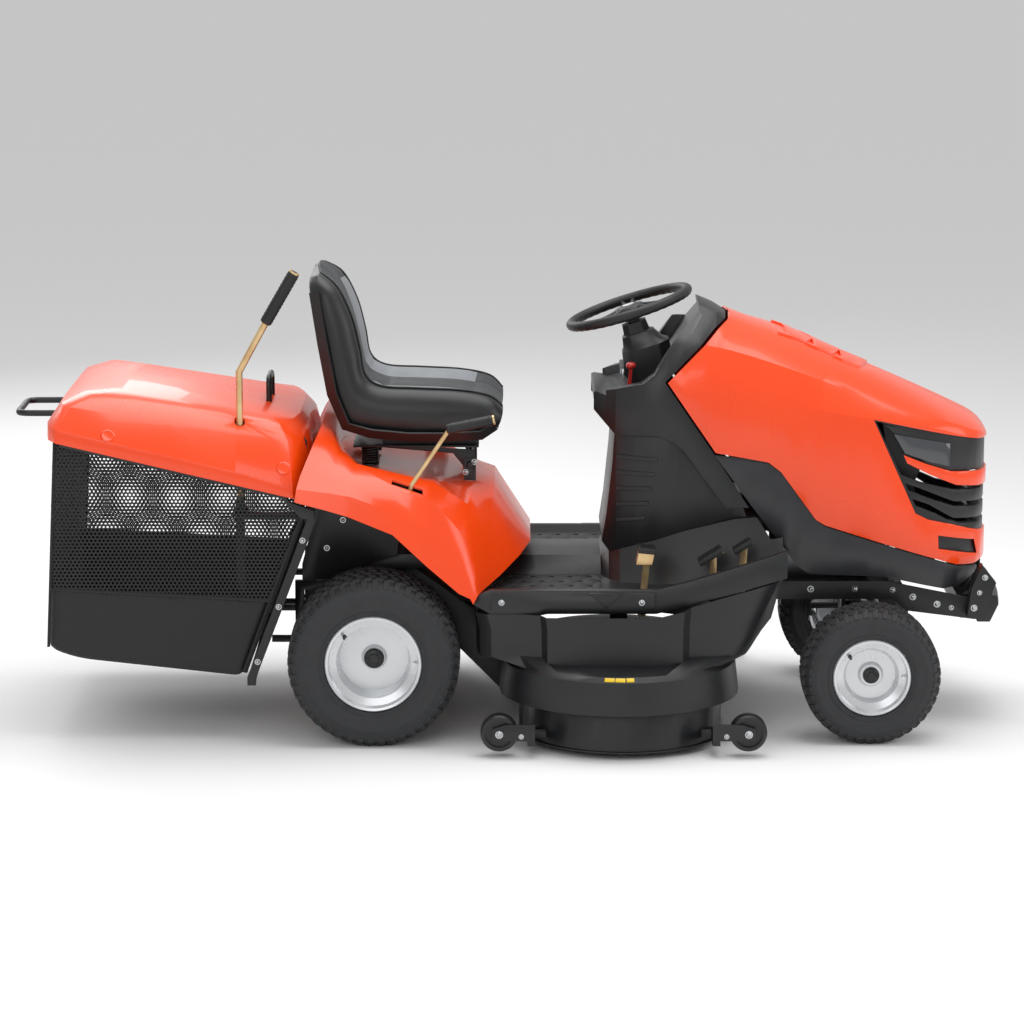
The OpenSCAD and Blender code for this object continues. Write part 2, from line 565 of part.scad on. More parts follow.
// Level k of the shield's front corner follows a line that falls away from the footplate.
function shield_row(z, box_z) = [for (i = [0:16]) let(m = shield_mid[i], boxed = i > 5 && i < 11)
    [m[0] + (i > 12 ? (z - 222) * 0.19 * (i - 12) : 0), m[1], boxed ? box_z : z]];
module side_shields() color("dimgray") {
    for (s = [0, 1]) mirror([0, s, 0]) skin([
        [for (p = shield_top) [p[0], p[1], 359.4 + max(0, p[0] - 402) * 0.27]],
        shield_row(318, 326),
        shield_row(286, 318),
        shield_row(244, 230),
        arc(shield_x, -shield_y, 298, 16, 220),
        arc(shield_x, -shield_y, 308, 16, 210),
        arc(shield_x, -shield_y, 318, 16, 124)], 4);
}
chute = [[-16, 74], [-16, 250], [-130, 330], [-514, 600], [-514, 432], [-140, 200]];
chute_in = [[0, 86], [0, 236], [-132, 325], [-530, 606], [-530, 446], [-142, 206]];
chute_w = 150;
module grass_chute() color("dimgray") {
    difference() {
        plate(chute, -chute_w, chute_w);
        plate(chute_in, 4 - chute_w, chute_w - 4);
    }
}
panel_y = rail_out + 24.3;
module rear_panel() color("dimgray") {
    plates([[-250, 681.4], [-300, 689.4], [-400, 713], [-504, 640], [-556, 448], [-556, 404], [-520, 404], [-300, 474],
        [-285, 604], [-250, 604]], panel_y - 4, panel_y);
    difference() {
        plate([[-504, 640], [-556, 448], [-556, 404], [-552, 404], [-552, 448], [-500, 640]], -panel_y, panel_y);
        box([-600, -chute_w - face_gap, 428], [-480, chute_w + face_gap, 606]);
    }
    across(-268, 640, -panel_y + 2, -416, lift_pin);
    // brackets and pins on which the collector tips
    for (s = [near, far]) {
        plate([[-520, 627], [-566, 690], [-566, pivot_up], [-560, pivot_up + 12], [-544, pivot_up + 12], [-538, pivot_up],
            [-538, 700], [-488, 627]], s * 264, s * 270);
        box([-519, s * (panel_y + 11.5) - 12.5, 626], [-488, s * (panel_y + 11.5) + 12.5, 640]);
        across(pivot_x, pivot_up, s * 254, s * 270, 9);
    }
}

// ---------------------------------------------------------------- wheels and front axle
module on_axle(x, y, z, s) {
    translate([x, y, z]) rotate([s * -90, 0, 0]) children();
}
// Hollow tyre round its axis, from the bead to a rounded shoulder.
module tyre(d, w, rim) {
    r = d / 2;
    q = rim / 2;
    h = w / 2;
    outer = [[q + 0.4, h - 16], [q + 1, h - 9], [q + 12, h - 3], [r - 46, h], [r - 26, h - 3], [r - 9, h - 15], [r - 1.6, h - 34]];
    inner = [[q + 0.4, h - 26], [q + 14, h - 14], [r - 46, h - 10], [r - 30, h - 14], [r - 20, h - 34]];
    rotate_extrude($fn = 72) polygon(concat(outer, [[r, 0]], [for (p = reverse(outer)) [p[0], -p[1]]],
        [for (p = inner) [p[0], -p[1]]], [[r - 16, 0]], reverse(inner)));
}
// Pressed steel rim with a dished disc, a hub and a cap. deep is how far the disc sits inside the outer face.
module rim(d, w, deep) {
    q = d / 2;
    h = w / 2;
    difference() {
        rotate_extrude($fn = 72) polygon([[q, h - 9.5], [q - 3, h - 5], [q - 9, h - 7], [q - 12, h - 26], [q - 30, h - 34],
            [q - 38, h - deep], [34, h - deep], [28, h - deep + 14], [0, h - deep + 14], [0, h - deep - 40], [30, h - deep - 40],
            [34, h - deep - 10], [q - 34, h - deep - 10], [q - 26, 34 - h], [q - 9, 24 - h], [q - 9, 7 - h], [q - 3, 5 - h],
            [q, 9.5 - h], [q - 7.3, 26.3 - h], [q - 7.3, h - 26.3]]);
        translate([0, 0, h - deep - 50]) cylinder(h = 50, r = axle_r + bore_gap);
    }
    translate([q - 21, 0, h - 31]) cylinder(h = 22, r = 4, $fn = 16);
}
module rear_tyre(s) {
    on_axle(rear_axle_x, s * rear_tyre_y, rear_axle_z, s) tyre(rear_tyre_d, rear_tyre_w, rear_rim_d);
}
module rear_rim(s) {
    on_axle(rear_axle_x, s * rear_tyre_y, rear_axle_z, s) rim(rear_rim_d, rear_tyre_w, 96);
}
module front_tyre(s) {
    on_axle(front_axle_x, s * front_tyre_y, front_axle_z, s) tyre(front_tyre_d, front_tyre_w, front_rim_d);
}
module front_rim(s) {
    on_axle(front_axle_x, s * front_tyre_y, front_axle_z, s) rim(front_rim_d, front_tyre_w, 56);
}
module rear_tyre_right() color("black") rear_tyre(near);
module rear_tyre_left() color("black") rear_tyre(far);
module rear_rim_right() color("silver") rear_rim(near);
module rear_rim_left() color("silver") rear_rim(far);
module front_tyre_right() color("black") front_tyre(near);
module front_tyre_left() color("black") front_tyre(far);
module front_rim_right() color("silver") front_rim(near);
module front_rim_left() color("silver") front_rim(far);
king_y = 296;
king_r = 11;
// Cast beam that rocks on its centre pivot, with an eye for a kingpin at each end.
module front_axle() color("slategray") {
    difference() {
        union() {
            plate([[front_axle_x - 18, 238], [front_axle_x + 18, 238], [front_axle_x + 18, 286], [front_axle_x - 18, 286]], -252, 252);
            for (s = [near, far]) {
                translate([front_axle_x, s * king_y, 222]) cylinder(h = 72, r = 24);
                box([front_axle_x - 16, s * 262 - 16, 240], [front_axle_x + 16, s * 262 + 16, 282]);
            }
            translate([front_axle_x - 30, 0, pivot_z]) rotate([0, 90, 0]) cylinder(h = 60, r = 30);
        }
        for (s = [near, far]) translate([front_axle_x, s * king_y, 200]) cylinder(h = 120, r = king_r + bore_gap);
        translate([front_axle_x - 40, 0, pivot_z]) rotate([0, 90, 0]) cylinder(h = 80, r = 12 + bore_gap);
    }
}
arm_x = front_axle_x - 95;
module knuckle(s) {
    y = s * king_y;
    translate([front_axle_x, y, front_axle_z - 24]) cylinder(h = 222 - face_gap - front_axle_z + 24, r = 20);
    translate([front_axle_x, y, 200]) cylinder(h = 106, r = king_r);
    translate([front_axle_x, y, 294 + face_gap]) cylinder(h = 12, r = 20);
    across(front_axle_x, front_axle_z, y, s * (front_tyre_y + 12), axle_r);
    across(front_axle_x, front_axle_z, y, s * (king_y + 28), 18);
    box([arm_x - 10, y - 12, 208], [front_axle_x, y + 12, 220]);
}
module knuckle_right() color("slategray") knuckle(near);
module knuckle_left() color("slategray") knuckle(far);
module tie_rod() color("silver") {
    across(arm_x, 196, -king_y, king_y, 7);
    for (s = [near, far]) translate([arm_x, s * king_y, 186]) cylinder(h = 22 - face_gap, r = 13);
}

// ---------------------------------------------------------------- seat
seat_hinge_x = -104;
seat_hinge_z = 704;
sw = seat_w / 2;
module seat_bracket() color("dimgray") {
    for (s = [near, far]) plate([[seat_hinge_x - 12, 692], [seat_hinge_x + 14, 692], [seat_hinge_x + 14, 716], [-90, 744],
        [-360, 760], [-360, 752], [-150, 734]], s * 150, s * 146);
    box([-420, -160, 752], [-80, 160, 757]);
    across(seat_hinge_x, seat_hinge_z, -170, 170, 8);
}
module seat_mount() {
    for (s = [near, far]) difference() {
        plate([[seat_hinge_x - 16, 663.5], [seat_hinge_x + 16, 660.7], [seat_hinge_x + 16, 722], [seat_hinge_x - 16, 722]], s * 154, s * 159);
        across(seat_hinge_x, seat_hinge_z, -200, 200, 8 + bore_gap);
    }
}
spring_turns = 5;
module seat_springs() color("silver") {
    r = spring_d / 2;
    pitch = 44 / spring_turns;
    for (s = [near, far]) translate([-376, s * 110, 698 - face_gap]) rotate_extrude() polygon(concat([[r - 14, 0], [r, 0], [r, 5]],
        [for (k = [0:spring_turns - 1]) each [[r - 7, 5 + pitch * k + 1], [r, 5 + pitch * (k + 0.5)], [r - 7, 5 + pitch * (k + 1) - 1]]],
        [[r, 49], [r, 54], [r - 14, 54]]));
}
// Side view of the seat at its middle and at its bolsters, from the front of the cushion over the back.
seat_mid = [[-18, 858], [-56, 884], [-140, 898], [-250, 902], [-338, 908], [-392, 945], [-412, 1030], [-434, 1115], [-468, 1196], [-512, 1240]];
seat_edge = [[-16, 866], [-52, 898], [-130, 914], [-245, 920], [-340, 926], [-384, 958], [-398, 1030], [-420, 1115], [-458, 1190], [-506, 1224]];
seat_under = [[-30, 806], [-70, 782], [-170, 778], [-270, 779], [-372, 789], [-446, 812], [-486, 904], [-511, 1040], [-533, 1176], [-532, 1214]];
seat_half = [0.86, 0.94, 0.98, 1, 1, 0.98, 0.95, 0.92, 0.84, 0.64];
// How deep the middle of the back is hollowed
seat_dent = [0, 0, 0, 0, 0, 14, 46, 50, 16, 0];
seat_n = 10;
function seat_row(i, d) = let(w = sw * seat_half[i] - d, m = seat_mid[i], e = seat_edge[i],
    u = seat_under[i] + d * shell_normal(i), c = u + seat_dent[i] * shell_normal(i)) [
    [m[0], 0, m[1]], [0.7 * m[0] + 0.3 * e[0], 0.42 * w, 0.7 * m[1] + 0.3 * e[1]], [e[0], 0.74 * w, e[1]], [(e[0] + u[0]) / 2 + 6, w, 0.62 * e[1] + 0.38 * u[1]],
    [u[0], 0.86 * w, u[1] + 10], [c[0], 0.5 * w, c[1]], [c[0], 0, c[1]]];
function ring(h) = concat(h, [for (i = [len(h) - 2:-1:1]) flip_y(h[i])]);
module seat_cushion() color("black") {
    loft([for (i = [0:seat_n - 1]) ring(seat_row(i, 0))]);
}
function shell_normal(i) = let(a = seat_under[max(i - 1, 0)], b = seat_under[min(i + 1, seat_n - 1)], t = b - a)
    [t[1], -t[0]] / norm(t);
function shell_row(i) = let(w = sw * seat_half[i] * 0.97, u = seat_under[i], n = shell_normal(i))
    [for (q = [[1.03, 26], [0.94, 0], [0.5, seat_dent[i] - 8], [0, seat_dent[i] - 8]]) [u[0] + n[0] * q[1], -q[0] * w, u[1] + n[1] * q[1]]];
module seat_shell() color("dimgray") {
    difference() {
        skin([for (i = [0:seat_n - 2]) both_sides(shell_row(i))], -5);
        loft([for (i = [0:seat_n - 1]) ring(seat_row(i, -face_gap))]);
    }
    for (s = [near, far]) box([-340, s * 120 - 14, 757 + face_gap], [-90, s * 120 + 14, 773]);
}

// ---------------------------------------------------------------- collector
cw = cover_w / 2;
lip_rear = [-1222, 817];
lip_slope = -0.237;
function lip_z(x) = lip_rear[1] + lip_slope * (x - lip_rear[0]);
// Half plan of the cover's ring, from the middle of the rear to the middle of the front.
function plan(d, x0, x1, y) = [[x0, 0], [x0, 0.45 * y], [x0 + 2 + d * 0.1, 0.8 * y], [x0 + 12, 0.94 * y], [x0 + 34, y], [x0 + 0.23 * (x1 - x0), y],
    [x0 + 0.45 * (x1 - x0), y], [x0 + 0.72 * (x1 - x0), y], [x0 + 0.87 * (x1 - x0), y], [x1 - 46 + d * 0.1, y], [x1 - 28, 0.9 * y], [x1 - 12, 0.72 * y], [x1, 0.48 * y], [x1, 0]];
function loop(h) = concat(h, [for (i = [len(h) - 2:-1:1]) [h[i][0], -h[i][1], h[i][2]]]);
function crown(x, y) = 112 * max(0, min(1, (x + 640) / 90)) * max(0, 1 - (y / cw) ^ 2);
function cover_ring(d, x0, x1, y, z0, slope, c) = loop([for (p = plan(d, x0, x1, y)) [p[0], p[1], z0 + slope * (p[0] + 1222) + c * crown(p[0], p[1])]]);
module cover_solid(d) {
    loft([cover_ring(d, -1224 + d, -520 - d, cw - d, 560 - 3 * d, 0, 0),
        cover_ring(d, -1224 + d, -520 - d, cw - d, 806, lip_slope, 0.6),
        cover_ring(d, -1222 + d, -522 - d, cw - 2 - d, 817 + lip_h - d / 3, lip_slope, 0.72),
        cover_ring(d, -1190 + d, -536 - d, cw - 60 - d, 908 - d, -0.17, 0.25),
        cover_ring(d, -1130 + d, -562 - d, cw - 110 - d, 938 - d, -0.152, 0.1),
        cover_ring(d, -1040 + d, -600 - d, cw - 180 - d, 950 - d, -0.152, 0)]);
}
module collector_cover() color("orangered") {
    difference() {
        cover_solid(0);
        cover_solid(wall);
        plate([[-1400, lip_z(-1400)], [-480, lip_z(-480)], [-480, 400], [-1400, 400]], -600, 600);
        translate([-620, 0, 0]) rotate([90, 0, 90]) linear_extrude(200)
            polygon([[-400, 560], [-400, 650], [-340, 700], [-230, 748], [-110, 764], [110, 764], [230, 748], [340, 700], [400, 650], [400, 560]]);
        for (s = [near, far]) box([-572, s * 263 - 9, 700], [-480, s * 263 + 9, pivot_up + 14.5]);
        translate([lever_x, -lever_y, 700]) cylinder(h = 300, r = 14);
        for (s = [near, far]) box([-660 - face_gap, s * 60.5 - 8.5 - face_gap, 800], [-644 + face_gap, s * 60.5 + 8.5 + face_gap, 1000]);
        for (s = [near, far]) box([-1280, s * 111 - 9 - face_gap, 830 - face_gap], [-1160, s * 111 + 9 + face_gap, 846 + face_gap]);
    }
}
module across_x(x, y, z, h, r) {
    translate([x, y, z]) rotate([0, 90, 0]) cylinder(h = h, r = r);
}
bag_w = 2 * (cw - bag_inset);
bag_side = [[-1198.5, 823], [-1228, 252], [-1157, 221], [-716, 172], [-700, 182], [-544, 600], [-544, 640], [-580, 672]];
bag_hole = [[-1300, 900], [-1209, 800], [-1225, 255], [-1156, 224], [-690, 172], [-500, 600], [-500, 900]];
module grass_bag() color("black") {
    bw = bag_w / 2;
    difference() {
        plate(bag_side, -bw, bw);
        plate([[-1300, 1000], [-1198.5 + bag_t, 823], [-1228 + bag_t, 252 + bag_t], [-1156, 221 + bag_t], [-690, 169 + bag_t], [-300, 600], [-300, 1000]],
            bag_t - bw, bw - bag_t);
    }
}
ramp = 0.383;
function ramp_x(z) = -515 - (645 - z) * ramp;
module collector_frame() color("dimgray") {
    bw = bag_w / 2;
    for (s = [near, far]) {
        plate([[ramp_x(638), 638], [ramp_x(172), 172], [ramp_x(172) - 0, 150], [ramp_x(172) + 22, 150], [ramp_x(172) + 24, 172], [ramp_x(638) + 24, 638]],
            s * (bw - 26), s * bw);
        plate([[-1180, lip_z(-1180) + 14], [-1180, lip_z(-1180) - 8], [-600, lip_z(-600) - 8], [-545, 606], [-512, 606], [-512, 628],
            [-575, 650], [-590, lip_z(-590) + 2], [-600, lip_z(-600) + 14]], s * (bw + face_gap), s * (cw - wall - 1.4));
        box([-541, s * (bw - 2) - 12, 606], [-513, s * (bw - 2) + 12, 626]);
    }
    box([ramp_x(172) + 1, 24 - bw, 153], [ramp_x(172) + 20, bw - 24, 171]);
    box([-541, 24 - bw, 590], [-521, bw - 24, 611]);
    box([-1180, -cw + wall + 4, lip_z(-1180) + 12.5], [-1162, cw - wall - 4, lip_z(-1180) + 22]);
    // hinge ears under the cover
    for (s = [near, far]) difference() {
        plate([[-541, 592], [-522, 592], [-522, 640], [-538, 700], [-538, pivot_up], [-546, pivot_up + 13], [-560, pivot_up + 13],
            [-568, pivot_up], [-568, 700], [-548, 640]],
            s * 262, s * 256);
        across(pivot_x, pivot_up, -300, 300, 9 + bore_gap);
    }
    // guides of the tipping lever
    for (z = [330, 600]) difference() {
        box([lever_x - 20, -lever_y - 20, z], [lever_x + 20, -lever_y + 20, z + 16]);
        translate([lever_x, -lever_y, z - 5]) cylinder(h = 30, r = lever_r + bore_gap);
    }
    box([lever_x - 12, -lever_y - 32, 320], [lever_x + 12, -lever_y - 20, 646]);
    box([lever_x - 12, -bw + 14, 600], [-515, -bw + 34, 616]);
    box([lever_x - 12, -bw + 14, 600], [lever_x + 12, -lever_y - 18, 616]);
}
pivot_x = -552;
pivot_up = 785;
lever_x = -712;
lever_y = 330;
lever_r = 9;
module tipping_lever() color("goldenrod") {
    rod([[lever_x, -lever_y, 236], [lever_x, -lever_y, 984], [-644, -lever_y, 1108], [-600, -lever_y, 1186]], lever_r);
    bar([-640, -lever_y, 1116], [-562, -lever_y, 1250], 15);
}
// Bent bar of a handle, drawn as the outer and inner edges of one half, from its middle to its foot.
module handle_bar(outer, inner, thick) {
    half = concat(outer, [for (k = [len(inner) - 1:-1:0]) inner[k]]);
    linear_extrude(thick) union() {
        polygon(half);
        polygon([for (q = half) [-q[0], q[1]]]);
    }
}
module collector_handles() color("black") {
    translate([-1322, 0, 830]) rotate([0, 0, 90])
        handle_bar([[0, 18], [97, 18], [120, -5], [120, -132]], [[0, 0], [90, 0], [102, -12], [102, -132]], 16);
    translate([-660, 0, 918]) rotate([90, 0, 90])
        handle_bar([[0, 17], [45, 17], [69, -7], [69, -98]], [[0, 0], [38, 0], [52, -14], [52, -98]], 16);
}
module height_lever() color("goldenrod") {
    difference() {
        union() {
            rod([[-268, -400, 640], [-256, -400, 692], [-156, -400, 841]], 6);
            across(-268, 640, -412, -388, 14);
        }
        across(-268, 640, -440, -360, lift_pin + bore_gap);
    }
    bar([-160, -400, 842], [-36, -400, 868], 13);
}

// ---------------------------------------------------------------- cutting deck
deck_x = 305;
rim_z = 18;
module stadium(r, h, z) {
    yc = deck_w / 2 - deck_r;
    translate([0, 0, z]) linear_extrude(h) union() {
        translate([deck_x - r, -yc]) square([2 * r, 2 * yc]);
        for (s = [near, far]) translate([deck_x, s * yc]) circle(r = r);
    }
}
module deck_shell() color("dimgray") {
    difference() {
        union() {
            stadium(deck_r, deck_h, rim_z);
            stadium(deck_r + 10, 4, rim_z);
        }
        stadium(deck_r - 4, deck_h - 4, rim_z - eps);
        box([deck_x - deck_r - 20, -100, rim_z + 16], [deck_x - deck_r + 60, 100, rim_z + deck_h - 14]);
        for (s = [near, far]) translate([deck_x, s * spindle_y, 60]) cylinder(h = 100, r = 18 + bore_gap);
    }
    for (a = [near, far], s = [near, far]) gauge_arm(gauge_x(a), s);
    for (s = [near, far]) box([deck_x - 40, s * 120 - 3, rim_z + deck_h], [deck_x + 40, s * 120 + 3, rim_z + deck_h + 66]);
}
gauge_y = 574;
gauge_z = 66;
function gauge_x(a) = deck_x - 2 + a * 327;
module gauge_arm(x, s) {
    in = x < deck_x ? 1 : -1;
    plate([[x - in * 18, gauge_z - 18], [x + in * 94, gauge_z - 18], [x + in * 94, gauge_z + 26], [x + in * 20, gauge_z + 26], [x - in * 18, gauge_z + 14]],
        s * (gauge_y + 27), s * (gauge_y + 22));
    box([x + in * 84 - 10, s * (gauge_y - 32) - 56, 34], [x + in * 84 + 10, s * (gauge_y - 32) + 56, 58]);
    box([min(x + in * 74, x + in * 150), s * 500 - 14, 34], [max(x + in * 74, x + in * 150), s * 500 + 14, 58]);
    across(x, gauge_z, s * (gauge_y - 24), s * (gauge_y + 30), 8);
    across(x, gauge_z, s * (gauge_y - 24), s * (gauge_y - 29), 14);
}
module gauge_wheel(a, s) {
    translate([gauge_x(a), s * gauge_y, gauge_z]) rotate([90, 0, 0]) difference() {
        rotate_extrude() polygon([[8, -21], [20, -21], [20, -14], [gauge_d / 2 - 12, -14], [gauge_d / 2 - 12, -21], [gauge_d / 2 - 4, -21],
            [gauge_d / 2, -14], [gauge_d / 2, 14], [gauge_d / 2 - 4, 21], [gauge_d / 2 - 12, 21], [gauge_d / 2 - 12, 14], [20, 14], [20, 21], [8, 21]]);
        translate([0, 0, -30]) cylinder(h = 60, r = 8 + bore_gap);
    }
}
module gauge_wheel_fr() color("black") gauge_wheel(far, near);
module gauge_wheel_fl() color("black") gauge_wheel(far, far);
module gauge_wheel_rr() color("black") gauge_wheel(near, near);
module gauge_wheel_rl() color("black") gauge_wheel(near, far);
loop_z = rim_z + deck_h + 22;
module blade(s) {
    translate([deck_x, s * spindle_y, 0]) {
        translate([0, 0, 44]) cylinder(h = 110, r = 18);
        translate([0, 0, 40]) cylinder(h = 8, r = 34);
        translate([0, 0, 34]) cylinder(h = 8, r = 14, $fn = 6);
        for (z = [-12, 5]) translate([0, 0, loop_z + z]) cylinder(h = 7, r = 62);
        translate([0, 0, loop_z - 8]) cylinder(h = 16, r = 54);
        difference() {
            box([-blade_len / 2, -30, 42], [blade_len / 2, 30, 47]);
            for (a = [0, 180]) rotate([0, 0, a]) translate([60, 18, 30]) rotate([0, 0, 3]) cube([300, 40, 30]);
        }
        for (a = [0, 180]) rotate([0, 0, a]) translate([170, -30, 44]) rotate([38, 0, 0]) translate([0, -26, 0]) cube([blade_len / 2 - 176, 30, 4]);
    }
}
module blade_right() color("silver") blade(near);
module blade_left() color("silver") blade(far);
module belt_loop(r, h, z) {
    translate([0, 0, z]) linear_extrude(h) {
        translate([deck_x - r, -spindle_y]) square([2 * r, 2 * spindle_y]);
        for (s = [near, far]) translate([deck_x, s * spindle_y]) circle(r = r);
    }
}
module deck_belt() color("black") {
    difference() {
        belt_loop(60, 9, loop_z - 4.5);
        belt_loop(54.4, 20, loop_z - 10);
    }
}

// ---------------------------------------------------------------- pedals
pedal_y = 350;
brake_x = 356;
brake_z = 340;
forward_x = 546;
forward_z = 372;
reverse_x = 622;
reverse_z = 384;
pedal_pin = 6;
lift_pin = 5.5;
// Flat arm that leans from its pivot at (x, z) to a pad whose side view is given.
module pedal(x, z, top_x, top_z, pad, wide) {
    difference() {
        union() {
            plate([[x - 9, z], [x + 9, z], [top_x + 9, top_z], [top_x - 9, top_z]], -pedal_y - 3, -pedal_y + 3);
            across(x, z, -pedal_y - 16, -pedal_y + 16, 12);
        }
        across(x, z, -pedal_y - 40, -pedal_y + 40, pedal_pin + bore_gap);
    }
    plate(pad, -pedal_y - wide / 2, -pedal_y + wide / 2);
}
module brake_pedal() color("goldenrod") {
    pedal(brake_x, brake_z, 369, 484, [[340, 474], [382, 474], [390, 512], [348, 516]], 64);
}
module drive_pedal_forward() color("goldenrod") {
    pedal(forward_x, forward_z, 546, 492, [[514, 470], [572, 506], [564, 514], [508, 479]], 60);
}
module drive_pedal_reverse() color("goldenrod") {
    pedal(reverse_x, reverse_z, 628, 520, [[606, 500], [650, 528], [643, 536], [600, 509]], 48);
}
module pedal_slots() {
    for (p = [[346, 402], [534, 578], [610, 652]]) box([p[0], -pedal_y - 9, 370], [p[1], -pedal_y + 9, 470]);
}

frame();
rear_panel();
bumper();
fender();
footplate();
foot_mats();
side_valances();
side_shields();
console();
knee_panel();
steering_column();
engine();
battery();
fuel_tank();
fuel_cap();
transaxle();
drive_shaft();
grass_chute();
hood();
grille();
hood_bezels();
headlamps();
rear_tyre_right();
rear_rim_right();
rear_tyre_left();
rear_rim_left();
front_tyre_right();
front_rim_right();
front_tyre_left();
front_rim_left();
front_axle();
knuckle_right();
knuckle_left();
tie_rod();
steering_wheel();
seat_bracket();
seat_springs();
seat_shell();
seat_cushion();
collector_frame();
collector_cover();
grass_bag();
collector_handles();
tipping_lever();
height_lever();
deck_shell();
deck_belt();
gauge_wheel_fr();
gauge_wheel_fl();
gauge_wheel_rr();
gauge_wheel_rl();
blade_right();
blade_left();
engine_pulley();
drive_pedal_forward();
drive_pedal_reverse();
brake_pedal();
throttle_lever();
ignition_key();
blade_switch();
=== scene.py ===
"""Looks of a ride-on lawn mower with a rear grass collector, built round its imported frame.

Sizes are in millimetres while shapes are made, and in metres on every Blender object.
"""

import logging
import math
from dataclasses import dataclass, field
from enum import Enum

import bmesh
import bpy
from mathutils import Euler, Matrix, Vector, noise
from mathutils.bvhtree import BVHTree
from mathutils.kdtree import KDTree


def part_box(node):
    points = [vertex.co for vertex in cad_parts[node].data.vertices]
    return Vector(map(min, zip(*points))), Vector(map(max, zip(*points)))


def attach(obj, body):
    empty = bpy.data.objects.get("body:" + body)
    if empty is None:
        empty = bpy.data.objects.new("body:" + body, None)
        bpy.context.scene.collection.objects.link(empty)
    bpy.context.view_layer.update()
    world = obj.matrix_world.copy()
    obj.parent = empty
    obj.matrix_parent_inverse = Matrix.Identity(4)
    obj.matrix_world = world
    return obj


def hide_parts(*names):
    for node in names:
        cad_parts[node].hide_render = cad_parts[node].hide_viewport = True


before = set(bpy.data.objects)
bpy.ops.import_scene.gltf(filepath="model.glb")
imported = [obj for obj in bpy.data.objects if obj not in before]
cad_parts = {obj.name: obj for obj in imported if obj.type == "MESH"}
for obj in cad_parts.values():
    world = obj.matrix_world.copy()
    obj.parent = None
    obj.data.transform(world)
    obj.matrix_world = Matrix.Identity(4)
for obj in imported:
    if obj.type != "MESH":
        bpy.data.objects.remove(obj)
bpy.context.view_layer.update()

LOG = logging.getLogger("mower")
MM = 0.001
SHARP = math.radians(35)
ROUNDED = math.radians(32)
WELD_GAP = 0.00002
JOIN_GAP = 0.0002
WAVE_TURN = 6.283
SIDES = {"right": -1, "left": 1}
Point = tuple[float, float, float]


# ------------------------------------------------------------------ finishes
class Grain(Enum):
    """How a surface's fine relief is drawn."""

    PEEL = "shallow waves of sprayed paint or polished plastic"
    MOULDED = "fine sparkle of a textured mould"
    LEATHER = "pebbled cells of embossed vinyl"
    BRUSHED = "lines left by drawing or rolling"
    CAST = "coarse skin of a sand casting"
    DUSTY = "dull rubber with dust in its pores"
    WOVEN = "crossing threads"


def linear(colour: str) -> tuple[float, float, float, float]:
    """Turns an sRGB hex value into linear RGBA.

    Args:
        colour: six hex digits after a hash.

    Returns:
        The colour as Blender's sockets take it.
    """
    parts = [int(colour[i : i + 2], 16) / 255 for i in (1, 3, 5)]
    rgb = [c / 12.92 if c <= 0.04045 else ((c + 0.055) / 1.055) ** 2.4 for c in parts]
    return (*rgb, 1.0)


def add_node(tree: bpy.types.NodeTree, kind: str, values: dict | None = None, links: dict | None = None,
        **settings):
    """Adds a node with its settings, its sockets' values and its links.

    Args:
        tree: the tree that gets the node.
        kind: the node's type name.
        values: socket name or index to a fixed value.
        links: socket name or index to the output socket that feeds it.
        settings: the node's own properties.

    Returns:
        The new node.
    """
    made = tree.nodes.new(kind)
    for key, value in settings.items():
        setattr(made, key, value)
    for key, value in (values or {}).items():
        made.inputs[key].default_value = value
    for key, source in (links or {}).items():
        tree.links.new(source, made.inputs[key])
    return made


